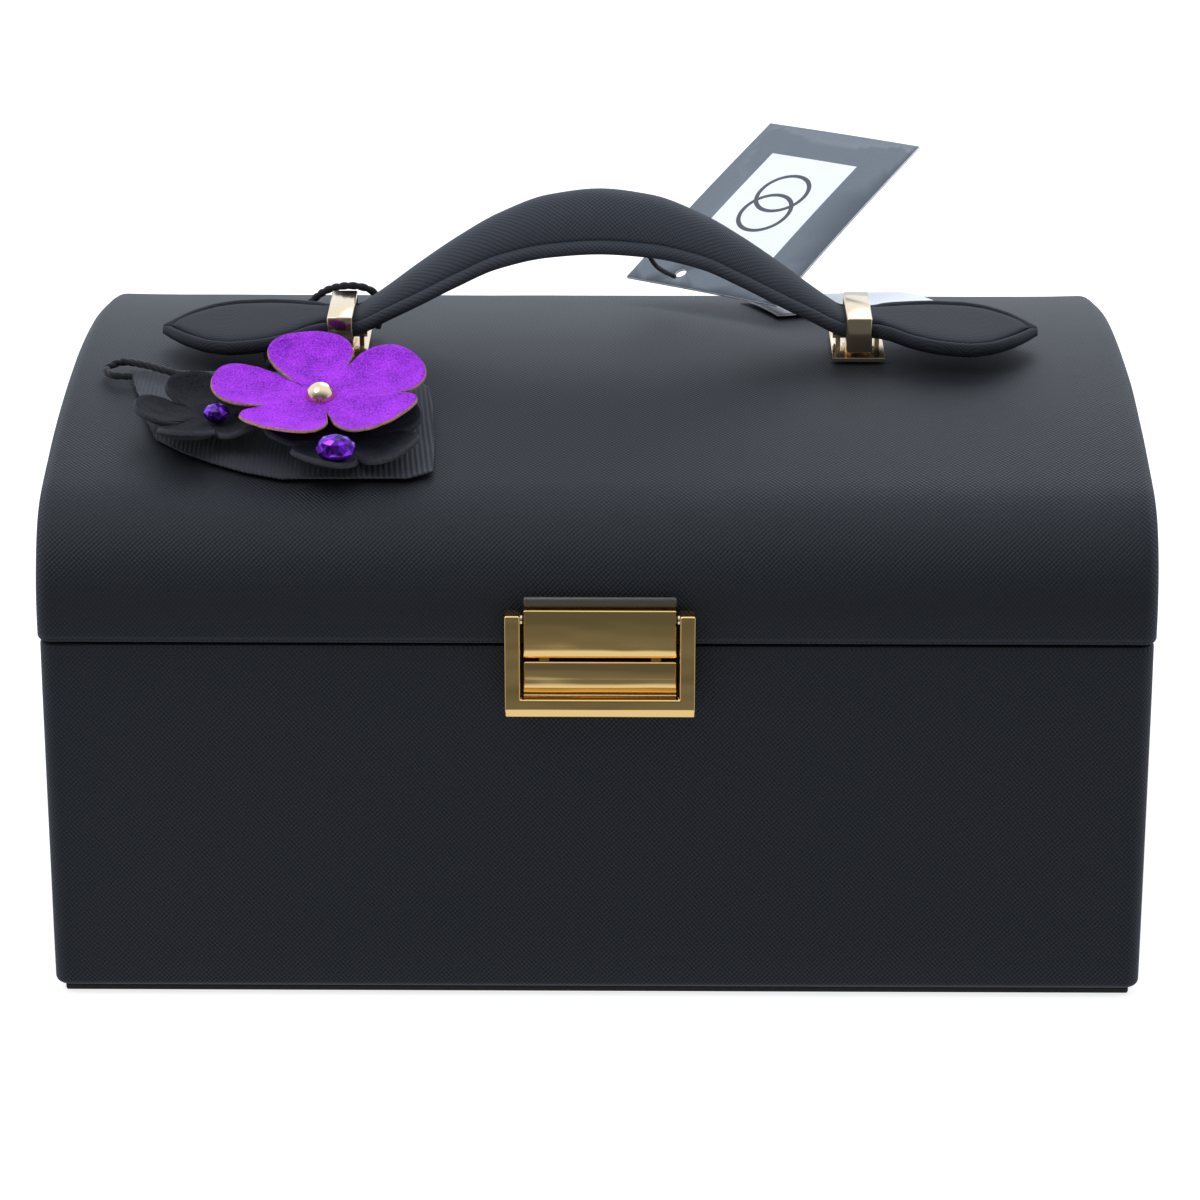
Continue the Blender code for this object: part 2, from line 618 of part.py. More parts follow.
def make_tag():
    hole = [(16 + 1.6 * math.cos(a), 5 + 1.6 * math.sin(a))
            for a in (math.tau * i / 12 for i in range(12))]
    tag = outline("hang_tag", "card", [(0, 0), (TAG_W, 0), (TAG_W, TAG_H), (0, TAG_H)], TAG_T,
                  tag_place())
    punch = outline("tag_punch", None, hole, 6, tag_place(), CUTTERS)
    boolean(tag, punch, "DIFFERENCE")
    string = cord("tag_string", "cord", STRING, STRING_D)
    rings = []
    along = Vector((math.cos(LEAFLET_TURN), math.sin(LEAFLET_TURN)))
    for step in range(5):
        near = LEAFLET_CORNER + along.orthogonal() * LEAFLET_H * step / 4
        far = near + along * LEAFLET_W
        rings.append([(p.x, p.y, lid_top(p.y) + lift)
                      for p, lift in ((near, 0.6), (far, 0.6), (far, 1.4), (near, 1.4))])
    leaflet = loft("leaflet", "card", rings)
    return [leaflet, string], [tag]


# ---------------------------------------------------------------- build

LOOKS = {
    "leatherette": ((0.012, 0.013, 0.016), 0.45),
    "board": ((0.23, 0.16, 0.10), 0.9),
    "velvet": ((0.02, 0.02, 0.024), 0.95),
    "ribbon": ((0.015, 0.015, 0.018), 0.6),
    "gold": ((0.83, 0.61, 0.27), 0.18, 1.0),
    "dark_metal": ((0.05, 0.045, 0.035), 0.45, 0.6),
    "steel": ((0.55, 0.55, 0.56), 0.35, 1.0),
    "mirror": ((0.9, 0.9, 0.92), 0.02, 1.0),
    "grosgrain": ((0.02, 0.021, 0.024), 0.75),
    "dark_suede": ((0.012, 0.012, 0.013), 0.95),
    "purple_suede": ((0.33, 0.035, 0.86), 0.9),
    "stone": ((0.13, 0.02, 0.32), 0.05),
    "cord": ((0.008, 0.008, 0.008), 0.7),
    "card": ((0.7, 0.71, 0.72), 0.5),
}

for old in list(bpy.data.objects):
    bpy.data.objects.remove(old)
PARTS = collection("jewelry_gift_box")
CUTTERS = collection("cutters")

make_case()
lid = make_lid()
tray = make_tray()
lid += make_hinges()
clasp_fixed, bail = make_clasp()
handle_fixed, handle = make_handle()
charm = make_charm()
tag_fixed, tag = make_tag()
lid += clasp_fixed + handle_fixed + tag_fixed
lid.append(cord("charm_cord", "cord", HANDLE_CORD, CORD_D))

lid_axis = on_axis("lid_axis", (0, HINGE_Y, SEAM_Z), lid)
branches = [on_axis("tray_axis", (0, 0, LEDGE_TOP), tray),
            on_axis("bail_axis", (0, BAIL_PIN_Y, BAIL_PIN_Z), bail),
            on_axis("handle_axis", (0, 0, RING_PIN_Z), handle),
            on_axis("charm_axis", (-80, CHARM_AXIS_Y, CHARM_AXIS_Z), charm),
            on_axis("tag_axis", TAG_CORNER, tag)]
for pivot in branches[1:]:
    pivot.parent = lid_axis
    pivot.matrix_parent_inverse = lid_axis.matrix_world.inverted()
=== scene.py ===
"""Looks of the vaulted jewelry case: leatherette, gold fittings, suede flowers, cords, velvet.

Lengths are in millimetres in the row frame (+X right, +Y rear, +Z up), unless a comment says
otherwise; the helpers turn them into metres.
"""
import json
import math
import random

import bmesh
import bpy
import numpy as np
from mathutils import Matrix, Vector, noise
from mathutils.bvhtree import BVHTree

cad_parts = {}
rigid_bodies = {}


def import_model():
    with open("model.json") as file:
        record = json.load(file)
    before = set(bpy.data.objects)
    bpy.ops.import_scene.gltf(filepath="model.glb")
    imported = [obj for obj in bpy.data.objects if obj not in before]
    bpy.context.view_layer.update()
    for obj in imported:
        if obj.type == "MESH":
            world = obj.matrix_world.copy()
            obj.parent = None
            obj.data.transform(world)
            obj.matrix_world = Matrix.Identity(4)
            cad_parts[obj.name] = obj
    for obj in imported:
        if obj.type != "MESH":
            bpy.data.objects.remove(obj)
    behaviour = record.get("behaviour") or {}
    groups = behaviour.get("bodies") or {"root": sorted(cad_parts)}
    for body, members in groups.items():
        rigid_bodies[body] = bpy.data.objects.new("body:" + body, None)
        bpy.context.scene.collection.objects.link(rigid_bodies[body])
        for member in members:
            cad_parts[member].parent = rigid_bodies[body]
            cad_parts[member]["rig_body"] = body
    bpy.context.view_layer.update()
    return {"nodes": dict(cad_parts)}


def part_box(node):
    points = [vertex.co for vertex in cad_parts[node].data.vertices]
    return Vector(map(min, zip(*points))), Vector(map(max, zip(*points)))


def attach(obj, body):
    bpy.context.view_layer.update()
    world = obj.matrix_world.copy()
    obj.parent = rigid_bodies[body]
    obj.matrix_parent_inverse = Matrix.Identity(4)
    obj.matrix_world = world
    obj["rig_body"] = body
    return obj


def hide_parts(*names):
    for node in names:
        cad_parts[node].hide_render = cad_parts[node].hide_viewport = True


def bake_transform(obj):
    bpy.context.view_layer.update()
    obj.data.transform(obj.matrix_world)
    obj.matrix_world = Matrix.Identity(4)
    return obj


MM = 0.001
SEED = 7

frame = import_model()
NODES = frame["nodes"]


def low(node):
    """Lowest corner of a CAD node, in millimetres."""
    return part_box(node)[0] / MM


def high(node):
    """Highest corner of a CAD node, in millimetres."""
    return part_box(node)[1] / MM


# Sizes that come from the frame
CASE_X, CASE_Y = high("case_cover").x, high("case_cover").y
CASE_LOW, CASE_RIM = low("case_cover").z, high("case_cover").z
LID_X, LID_Y = high("lid_cover").x, high("lid_cover").y
LID_RIM, CREST = low("lid_cover").z, high("lid_cover").z

# Shape of the lid's outline
SHOULDER_Z, SHOULDER_R, VAULT_R = 99.0, 30.0, 333.6
CORNER_R = 4.0
LEATHER_T = 0.25                # the leatherette itself, over its foam
TURN_IN = 8.0                   # how far the leatherette is folded over the boards' edges
FOOT_R = 1.6                    # rounding along the bottom of the case
RIM_R = 0.9                     # rounding of the leatherette where it turns in at the seam
FOAM_SWELL = 0.35               # the padding's crown in the middle of a wall
FOAM_WAVE = 0.16                # its slow unevenness

# Cords: routes, thicknesses and true lengths
CORD_D, STRING_D = 2.0, 1.3
HANDLE_CORD = ((-84.0, -19.0, 138.5), (-85.5, -8.0, 138.8), (-84.0, 6.0, 138.8),
               (-80.0, 16.8, 139.6), (-76.0, 20.0, 143.6), (-71.5, 17.4, 147.6),
               (-65.6, 14.6, 149.6), (-60.2, 14.2, 148.6), (-57.2, 14.6, 144.8),
               (-57.6, 13.2, 141.2), (-58.4, 11.6, 139.0))
TIP_CORD = ((-102.0, -31.0, 139.0), (-109.5, -26.8, 139.5), (-116.0, -22.2, 139.7),
            (-121.6, -19.0, 139.3), (-125.4, -22.2, 138.6), (-123.4, -26.8, 138.4),
            (-118.2, -28.6, 138.6))
STRING = ((9.0, 14.6, 166.0), (11.2, 19.5, 159.5), (14.6, 30.0, 150.6), (19.6, 47.0, 142.6))
HANDLE_CORD_LENGTH, TIP_CORD_LENGTH, STRING_LENGTH = 0.075, 0.039, 0.042     # metres

# Half of the strap, from its middle outward: distance, underside, top, half width
STRAP = ((0, 165.7, 179.8, 12.5), (13, 164.8, 178.2, 12.5), (26, 161.7, 173.2, 12.3),
         (36, 157.0, 167.3, 11.9), (46.7, 151.3, 159.8, 11.4), (55, 147.0, 153.4, 10.8),
         (60.5, 144.0, 149.4, 10.3), (63, 143.1, 147.6, 10.2), (70, 142.9, 147.4, 10.2),
         (73, 142.9, 147.0, 12.0), (80, 142.0, 146.0, 16.8), (88, 141.3, 145.2, 19.6),
         (94, 141.0, 144.8, 20.0), (100, 141.0, 144.6, 18.0), (106, 141.0, 144.4, 12.8),
         (110, 141.0, 144.0, 7.2), (113, 141.3, 143.4, 2.0))
PIPING_R = 1.8                  # the rolled edge of the strap
LEAF_FROM, LEAF_BLEND = 58, 14  # where the grip turns into the leaf, and over what length

# The ribbon patch: depth, left edge, right edge, from the rear edge to the front one
PATCH = ((-21.5, -119.5, -109.5), (-23.6, -119.0, -48.0), (-32, -117.0, -43.0),
         (-42, -114.5, -41.5), (-52, -112.0, -41.0), (-61, -109.0, -40.5), (-67, -102.0, -40.2),
         (-72, -94.0, -40.0), (-76, -86.0, -40.0), (-79, -77.0, -46.0))
PATCH_AREA, PATCH_T = 0.00377, 0.35       # square metres, as cut; thickness
RIB_PITCH, RIB_HEIGHT = 1.1, 0.22

FLOWER_C, FLOWER_R, FLOWER_TILT = Vector((-68.8, -52.0, 140.3)), 27.0, math.radians(10)
BEAD_SHARE = 1.1                # the whole ball against the part of it that shows

# Hang tag
TAG_W, TAG_H, TAG_T = 53.0, 69.0, 0.6
TAG_CORNER = Vector((6.8, 61.9, 137.8))
TAG_TURN = Vector((0.42, -0.219, -0.705))   # rotation vector, radians
TAG_HOLE, TAG_HOLE_R = (16.0, 5.0), 1.6
LEAFLET_CORNER, LEAFLET_TURN = Vector((47.0, 31.5)), math.radians(20)
LEAFLET_W, LEAFLET_H = 48.0, 28.0


# ---- meshes

def add_object(name, data):
    obj = bpy.data.objects.new(name, data)
    bpy.context.scene.collection.objects.link(obj)
    return obj


def as_piece(name, bm, look, body, smooth=True, sharp=None):
    """An object from a bmesh in millimetres, riding on a body."""
    for vert in bm.verts:
        vert.co *= MM
    mesh = bpy.data.meshes.new(name)
    bm.to_mesh(mesh)
    bm.free()
    obj = add_object(name, mesh)
    for one in (look if isinstance(look, list) else [look]):
        mesh.materials.append(one)
    if smooth:
        mesh.shade_smooth()
        if sharp is not None:
            mesh.set_sharp_from_angle(angle=math.radians(sharp))
    if body:
        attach(obj, body)
    return obj


def uv_layer(bm):
    """The mesh's map of places on the material, in millimetres."""
    return bm.loops.layers.uv.get("UVMap") or bm.loops.layers.uv.new("UVMap")


def grid(bm, rows, closed=False, uvs=None, flip=False):
    """Skin rows of points with quads; uvs are the points' places on the material."""
    layer = uv_layer(bm)
    made = [[bm.verts.new(p) for p in row] for row in rows]
    count = len(rows[0])
    for j in range(len(rows) - 1):
        for i in range(count if closed else count - 1):
            k = (i + 1) % count
            corners = [(j, i), (j, k), (j + 1, k), (j + 1, i)]
            if flip:
                corners.reverse()
            face = bm.faces.new([made[a][b] for a, b in corners])
            if uvs:
                for loop, (a, b) in zip(face.loops, corners):
                    wraps = closed and i == count - 1 and b == 0
                    loop[layer].uv = (uvs[a][count if wraps else b][0], uvs[a][b][1])
    return made


def tube(bm, rows, uvs=None):
    """Skin closed rings of points and cap both ends."""
    made = grid(bm, rows, closed=True, uvs=uvs)
    bm.faces.new(reversed(made[0]))
    bm.faces.new(made[-1])


def modifier(obj, kind, **settings):
    mod = obj.modifiers.new(kind.lower(), kind)
    for key, value in settings.items():
        setattr(mod, key, value)
    return mod


def thicken(obj, thickness, offset=0.0, **settings):
    """Give a sheet its thickness in millimetres, and keep the result as its mesh."""
    modifier(obj, "SOLIDIFY", thickness=thickness * MM, offset=offset, **settings)
    bpy.context.view_layer.update()
    mesh = bpy.data.meshes.new_from_object(obj.evaluated_get(bpy.context.evaluated_depsgraph_get()))
    obj.modifiers.clear()
    obj.data = mesh


def finished(name, bm, look, body, slot, node=None, up=0, sheet=None, sharp=60, **settings):
    """A piece with its faces outward, which stands for a CAD node.

    An open mesh is turned up (1) or down (-1); sheet is the thickness it gets then."""
    bmesh.ops.recalc_face_normals(bm, faces=bm.faces)
    if sum(f.normal.z for f in bm.faces) * up < 0:
        bmesh.ops.reverse_faces(bm, faces=bm.faces)
    obj = as_piece(name, bm, look, body, sharp=sharp)
    if sheet:
        thicken(obj, sheet, **settings)
    if node:
        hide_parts(node)
    return obj


def circle(count, radius=1.0, shift=0.0):
    """Points round a circle."""
    return [(radius * math.cos(a), radius * math.sin(a))
            for a in (math.tau * i / count + shift for i in range(count))]


def quarter(steps):
    """1 - sin and 1 - cos at equal steps of a quarter turn."""
    return [(1 - math.sin(a), 1 - math.cos(a))
            for a in (math.pi / 2 * i / steps for i in range(steps + 1))]


def smoothstep(t):
    t = min(max(t, 0.0), 1.0)
    return t * t * (3 - 2 * t)


def lathe(bm, profile, place, steps=24):
    """Turn (radius, height) pairs about the local Z axis."""
    tube(bm, [[place @ Vector((x, y, height)) for x, y in circle(steps, radius)]
              for radius, height in profile])


def smooth_path(points, spacing):
    """Points at an even spacing on a smooth curve through the given ones."""
    knots = [Vector(p) for p in points]
    knots = [2 * knots[0] - knots[1]] + knots + [2 * knots[-1] - knots[-2]]
    fine = []
    for a, b, c, d in zip(knots, knots[1:], knots[2:], knots[3:]):
        for step in range(24):
            t = step / 24
            fine.append(0.5 * ((2 * b) + (c - a) * t + (2 * a - 5 * b + 4 * c - d) * t * t
                               + (3 * b - a - 3 * c + d) * t ** 3))
    fine.append(knots[-2])
    total = sum((q - p).length for p, q in zip(fine, fine[1:]))
    count = max(2, round(total / spacing))
    even, want, gone = [fine[0]], total / count, 0.0
    for p, q in zip(fine, fine[1:]):
        run = (q - p).length
        while gone + run >= want * len(even) and len(even) < count:
            even.append(p.lerp(q, (want * len(even) - gone) / run))
        gone += run
    return even + [fine[-1]]


def frames_along(route):
    """Two unit vectors across the route at each point, turned as little as possible."""
    tangent = (route[1] - route[0]).normalized()
    across = tangent.orthogonal().normalized()
    made = []
    for i, _ in enumerate(route):
        after = route[min(i + 1, len(route) - 1)] - route[max(i - 1, 0)]
        turn = tangent.rotation_difference(after.normalized())
        tangent = after.normalized()
        across = (turn @ across).normalized()
        made.append((across, tangent.cross(across).normalized()))
    return made


def rope(name, points, diameter, look, body):
    """A cord of twisted strands along a route; returns the piece and its centreline in metres."""
    spacing, sides, strands, lay = 0.3, 16, 2, 2.6
    route = smooth_path(points, spacing)
    rows = []
    for i, (at, (side, up)) in enumerate(zip(route, frames_along(route))):
        phase = math.tau * i * spacing / (lay * diameter)
        row = []
        for k, (c, s) in enumerate(circle(sides)):
            swell = abs(math.cos(strands * (math.tau * k / sides - phase) / 2)) ** 0.7
            row.append(at + diameter / 2 * (0.70 + 0.32 * swell) * (c * side + s * up))
        rows.append(row)
    bm = bmesh.new()
    tube(bm, rows)
    return finished(name, bm, look, body, "cord", sharp=None), [p * MM for p in route]


# ---- materials

class Nodes:
    """A node tree round its main node; sockets are linked or set by their name or number."""

    def __init__(self, tree, main):
        self.tree, self.main = tree, tree.nodes[main]

    def put(self, name, value, owner=None):
        socket = (owner or self.main).inputs[name]
        if isinstance(value, bpy.types.NodeSocket):
            self.tree.links.new(value, socket)
        elif isinstance(value, tuple) and len(value) == 3 and socket.type == "RGBA":
            socket.default_value = (*value, 1.0)
        else:
            socket.default_value = value

    def node(self, kind, inputs, output=0, **settings):
        made = self.tree.nodes.new("ShaderNode" + kind)
        for key, value in settings.items():
            setattr(made, key, value)
        for key, value in inputs.items():
            self.put(key, value, made)
        return made.outputs if output is None else made.outputs[output]

    def math(self, operation, a, b=0.0, clamp=False):
        return self.node("Math", {0: a, 1: b}, operation=operation, use_clamp=clamp)

    def vector(self, operation, a, b=(0.0, 0.0, 0.0), output=0):
        return self.node("VectorMath", {0: a, 1: b}, output, operation=operation)

    def parts(self, vector):
        return self.node("SeparateXYZ", {"Vector": vector}, None)

    def weigh(self, a, share_a, b, share_b):
        """The sum of two values, each times its share."""
        return self.math("ADD", self.math("MULTIPLY", a, share_a),
                         self.math("MULTIPLY", b, share_b))


class Look(Nodes):
    """A procedural material; a socket of its shader may be set by keyword, with _ for a space."""

    def __init__(self, name, color, roughness, metallic=0.0, **sockets):
        self.material = bpy.data.materials.new(name)
        self.material.use_nodes = True
        super().__init__(self.material.node_tree, "Principled BSDF")
        self.put("Base Color", color)
        self.put("Roughness", roughness)
        self.put("Metallic", metallic)
        for key, value in sockets.items():
            self.put(key.replace("_", " "), value)

    def mix(self, factor, a, b):
        return self.node("Mix", {0: factor, 6: a, 7: b}, 2, data_type="RGBA")

    def shades(self, factor, color, dark, light):
        """Colour the material between two shares of one colour."""
        self.put("Base Color", self.mix(factor, times(color, dark), times(color, light)))

    def blend(self, factor, a, b):
        """A number between a and b."""
        return self.node("MapRange", {0: factor, 3: a, 4: b})

    def object_mm(self):
        """Object coordinates in millimetres."""
        return self.node("VectorMath", {0: self.node("TexCoord", {}, 3), 3: 1 / MM},
                         operation="SCALE")

    def uv_mm(self):
        return self.node("UVMap", {}, uv_map="UVMap")

    def noise(self, at, scale, detail=2.0, rough=0.5):
        return self.node("TexNoise", {"Vector": at, "Scale": scale, "Detail": detail,
                                      "Roughness": rough})

    def ridges(self, at, angle, pitch, wobble=0.0):
        """Parallel rounded ridges across a flat pattern, 0 in the valleys and 1 on top."""
        x, y, _ = self.parts(at)
        phase = self.weigh(x, math.cos(angle) * math.tau / pitch,
                           y, math.sin(angle) * math.tau / pitch)
        wave = self.math("SINE", self.math("ADD", phase, wobble))
        return self.math("MULTIPLY", self.math("ADD", wave, 1.0), 0.5)

    def bump(self, height, distance, strength=1.0):
        """Relief of the given height in millimetres."""
        self.put("Normal", self.node("Bump", {"Height": height, "Distance": distance * MM,
                                              "Strength": strength}))


def times(color, share):
    return tuple(min(1.0, c * share) for c in color)


def leatherette(name, pitch=0.84, relief=0.10, tone=1.0, shine=0.33, painted_highlight_share=None):
    """Cross-grained coated leather: two families of fine slanted ridges, broken up a little.

    Given a share, it gets a painted highlight over the handle's middle: lighter there by that
    share, up to the handle's rings."""
    look = Look(name, (0.01, 0.01, 0.012), 0.42, Specular_IOR_Level=shine,
                Specular_Tint=(0.88, 0.94, 1.0))
    uv = look.uv_mm()
    wobble = look.math("MULTIPLY", look.noise(uv, 0.3, 3.0), 3.0)
    first = look.ridges(uv, math.radians(42), pitch, wobble)
    second = look.ridges(uv, math.radians(-44), pitch * 1.04, wobble)
    patchy = look.blend(look.noise(uv, 0.12, 2.0), 0.2, 0.8)
    weave = look.weigh(first, patchy, second, look.math("SUBTRACT", 1.0, patchy))
    height = look.weigh(weave, 1.2, look.noise(uv, 2.4, 3.0, 0.6), 0.3)
    cloud = look.noise(uv, 0.02, 3.0)
    color = look.mix(height, times((0.0027, 0.0029, 0.0033), tone),
                     times((0.0113, 0.0122, 0.0144), tone))
    color = look.mix(look.math("MULTIPLY", cloud, 0.35), color,
                     times((0.0101, 0.0112, 0.0136), tone))
    # Painted highlight: the colour is lifted by the given share near the strap's middle and fades
    # to the plain colour between 45 and 75 mm out.
    if painted_highlight_share:
        away = look.math("ABSOLUTE", look.parts(look.object_mm())[0])
        stretch = look.node("MapRange", {0: away, 1: 45.0, 2: 75.0, 3: painted_highlight_share, 4: 1.0})
        color = look.node("VectorMath", {0: color, 3: stretch}, operation="SCALE")
    look.put("Base Color", color)
    look.put("Roughness", look.math("ADD", look.blend(height, 0.62, 0.48),
                                    look.math("MULTIPLY", cloud, 0.05)))
    look.bump(height, relief)
    return look.material


def velvet(name, color):
    look = Look(name, color, 0.95, Specular_IOR_Level=0.15, Sheen_Weight=0.55,
                Sheen_Roughness=0.35, Sheen_Tint=(0.55, 0.56, 0.62))
    at = look.object_mm()
    pile = look.noise(at, 1.6, 3.0, 0.7)
    look.shades(look.weigh(pile, 0.5, look.noise(at, 0.05, 3.0), 0.7), color, 0.45, 1.7)
    look.bump(pile, 0.12, 0.8)
    return look.material


def suede(name, dark, light, fuzz=1.0):
    look = Look(name, light, 0.92, Specular_IOR_Level=0.2, Sheen_Weight=0.35,
                Sheen_Roughness=0.5, Sheen_Tint=tuple(min(1.0, c * 1.2 + 0.1) for c in light))
    at = look.object_mm()
    nap = look.noise(at, 1.5 * fuzz, 4.0, 0.75)
    shade = look.weigh(nap, 3.2, look.noise(at, 0.16, 3.0), 0.8)
    look.put("Base Color", look.mix(look.math("SUBTRACT", shade, 1.42, clamp=True), dark, light))
    look.bump(nap, 0.16)
    return look.material


def metal(name, color, roughness, wave=0.0, grain=(0.12, 0.12, 0.12)):
    """Plated metal; the surface undulates slowly, by wave millimetres along each axis of grain."""
    look = Look(name, color, roughness, 1.0)
    at = look.object_mm()
    slow = look.noise(look.vector("MULTIPLY", at, grain), 1.0, 1.0)
    fine = look.noise(at, 3.0, 3.0)
    look.put("Roughness", look.math("ADD", look.blend(slow, roughness * 0.75, roughness * 1.25),
                                    look.math("MULTIPLY", fine, 0.02)))
    look.shades(fine, color, 0.93, 1.0)
    look.bump(look.weigh(slow, 1.0, fine, 0.01), wave)
    return look.material


def grained(name, color, grain, shades, rough, relief, metallic=0.0, stretch=None, **sockets):
    """A material that one grain colours, roughens and gives its relief.

    The grain is a noise's scale, detail and roughness; shades are the colour's shares and rough
    the roughness from the grain's valleys to its tops."""
    look = Look(name, color, rough[0], metallic, **sockets)
    at = look.object_mm()
    if stretch:
        at = look.vector("MULTIPLY", at, stretch)
    height = look.noise(at, *grain)
    look.shades(height, color, *shades)
    look.put("Roughness", look.blend(height, *rough))
    look.bump(height, relief)
    return look.material


def grosgrain(name, color):
    """Ribbon cloth: the ribs are in the mesh, the threads across them are here."""
    look = Look(name, color, 0.7, Specular_IOR_Level=0.3, Sheen_Weight=0.15)
    at = look.uv_mm()
    wobble = look.math("MULTIPLY", look.noise(at, 1.2), 2.0)
    threads = look.ridges(at, math.radians(90), 0.42, wobble)
    look.shades(look.weigh(threads, 0.5, look.ridges(at, 0.0, RIB_PITCH), 0.5), color, 0.35, 1.5)
    look.bump(threads, 0.05)
    return look.material


def crystal(name):
    """Foil-backed cut glass; the facets' very different brightness is painted sparkle, random cells
    of dark to bright purple in its colour.
    """
    look = Look(name, (0.12, 0.015, 0.40), 0.08, 0.8, IOR=1.5, Coat_Weight=0.25,
                Coat_Roughness=0.03)
    cells = look.node("TexVoronoi", {"Vector": look.object_mm(), "Scale": 0.75}, 1)
    bright, tilt, _ = look.node("SeparateColor", {"Color": cells}, None)
    # Painted sparkle: each cell's colour runs from near black to bright purple, standing for glints
    # on the facets.
    look.put("Base Color", look.mix(look.math("POWER", bright, 1.6), (0.03, 0.002, 0.10),
                                    (0.30, 0.03, 0.95)))
    look.bump(tilt, 0.25)
    return look.material


def printed_tag(name):
    """A grey card with a white panel and a mark of two linked rings and a bar."""
    grey, white, ink = (0.125, 0.150, 0.172), (0.94, 0.945, 0.95), (0.05, 0.06, 0.065)
    look = Look(name, grey, 0.42)
    at = look.uv_mm()
    u, v, _ = look.parts(at)

    def within(value, a, b):
        middle, half = (a + b) / 2, (b - a) / 2
        return look.math("LESS_THAN", look.math("ABSOLUTE", look.math("SUBTRACT", value, middle)),
                         half)

    def ring(x, y, radius, width):
        flat = look.vector("MULTIPLY", look.vector("SUBTRACT", at, (x, y, 0.0)), (1.0, 1.0, 0.0))
        return within(look.vector("LENGTH", flat, output=1),
                      radius - width / 2, radius + width / 2)

    panel = look.math("MULTIPLY", within(u, 10.0, 40.0), within(v, 12.0, 56.8))
    rings = look.math("MAXIMUM", ring(25.0, 41.5, 7.6, 1.3), ring(25.0, 33.0, 7.6, 1.3))
    bar = look.math("MULTIPLY", within(u, 17.0, 33.0), within(v, 18.0, 19.2))
    mark = look.math("MULTIPLY", look.math("MAXIMUM", rings, bar), panel)
    fibre = look.noise(at, 0.6, 4.0)
    board = look.mix(fibre, times(grey, 0.92), times(grey, 1.06))
    look.put("Base Color", look.mix(mark, look.mix(panel, board, white), ink))
    look.put("Roughness", look.blend(fibre, 0.46, 0.38))
    look.bump(fibre, 0.02)
    return look.material


LEATHER = leatherette("leatherette_saffiano")
# The strap's middle gets a painted highlight, its colour 2.6 times as light there.
STRAP_LEATHER = leatherette("leatherette_strap", pitch=0.8, relief=0.045, tone=2.0, shine=0.08,
                            painted_highlight_share=2.6)
PIPING = Look("leatherette_thread", (0.008, 0.008, 0.009), 0.6).material
VELVET = velvet("velvet_charcoal", (0.020, 0.020, 0.023))
GOLD = metal("gold_polished", (0.88, 0.70, 0.44), 0.13, wave=0.05)
GOLD_WAVY = metal("gold_pressed_plate", (0.98, 0.65, 0.235), 0.08, wave=0.3,
                  grain=(0.05, 0.12, 0.12))
DARK_METAL = grained("dark_strip", (0.20, 0.19, 0.16), (1.0, 3.0), (0.8, 1.0), (0.42, 0.78), 0.02,
                     metallic=1.0, stretch=(0.6, 3.0, 3.0))
STEEL = grained("steel_backing", (0.55, 0.55, 0.56), (1.0, 3.0), (0.8, 1.0), (0.224, 0.416), 0.02,
                metallic=1.0, stretch=(3.0, 0.2, 0.2))
BOARD, BASE = (grained(name, color, (0.9, 4.0, 0.7), (0.55, 1.35), (0.95, 0.75), 0.1)
               for name, color in (("fibreboard", (0.20, 0.145, 0.095)),
                                   ("base_board_black", (0.012, 0.012, 0.013))))
MIRROR = metal("mirror_silver", (0.90, 0.91, 0.92), 0.03)
GROSGRAIN = grosgrain("grosgrain_black", (0.037, 0.040, 0.047))
RIBBON = grosgrain("ribbon_black", (0.014, 0.014, 0.016))
DARK_SUEDE = suede("suede_black", (0.006, 0.0065, 0.0075), (0.021, 0.0225, 0.027))
# The dark petals' cut edges are coloured lighter than their faces: painted highlight along the
# edges.
DARK_EDGE = suede("suede_black_edge", (0.02, 0.021, 0.024), (0.045, 0.047, 0.054))
PURPLE = suede("suede_purple", (0.05, 0.001, 0.24), (0.57, 0.054, 1.0), fuzz=1.5)
CUT_EDGE = suede("suede_cut_edge", (0.22, 0.10, 0.10), (0.52, 0.29, 0.17))
CRYSTAL = crystal("crystal_purple")
CORD = grained("cord_black", (0.006, 0.006, 0.0065), (4.0, 3.0, 0.7), (0.4, 2.2), (0.8, 0.8), 0.08,
               Specular_IOR_Level=0.3, Sheen_Weight=0.2)
TAG_PRINT = printed_tag("tag_print")
WHITE_CARD = grained("white_card", (0.88, 0.885, 0.89), (0.8, 4.0), (0.96, 1.0), (0.62, 0.5), 0.02)


# ---- camera and cords

def make_camera():
    pitch_down, turn_left = 20.86, 0.49
    data = bpy.data.cameras.new("camera")
    data.sensor_width, data.lens = 36.0, 133.1
    obj = add_object("camera", data)
    obj.location = (0.0094, -1.0972, 0.4856)
    obj.rotation_euler = (math.radians(90 - pitch_down), 0.0, math.radians(turn_left))
    bpy.context.scene.camera = obj


def make_cords():
    """The cord round the handle, the loop at the patch's tip and, last, the tag's string."""
    for name, node, points, width, body, length, lay in (
            ("handle_cord", "charm_cord", HANDLE_CORD, CORD_D, "lid", HANDLE_CORD_LENGTH, "taut"),
            ("tip_cord", "charm_tip_cord", TIP_CORD, CORD_D, "charm", TIP_CORD_LENGTH, "loose"),
            ("tag_cord", "tag_string", STRING, STRING_D, None, STRING_LENGTH, "taut")):
        obj, route = rope(name, points, width, CORD, body)
        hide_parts(node)
    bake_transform(obj)


make_camera()
make_cords()


# ---- case and lid

def lid_top(y):
    """Height of the lid's outer face at a given depth."""
    edge = (LID_Y - SHOULDER_R) * VAULT_R / (VAULT_R - SHOULDER_R)
    if abs(y) <= edge:
        return CREST - VAULT_R + math.sqrt(VAULT_R ** 2 - y * y)
    reach = abs(y) - (LID_Y - SHOULDER_R)
    return SHOULDER_Z + math.sqrt(max(SHOULDER_R ** 2 - reach ** 2, 0))


def arc(centre, radius, start, end, steps):
    return [(centre[0] + radius * math.cos(start + (end - start) * i / steps),
             centre[1] + radius * math.sin(start + (end - start) * i / steps))
            for i in range(steps + 1)]


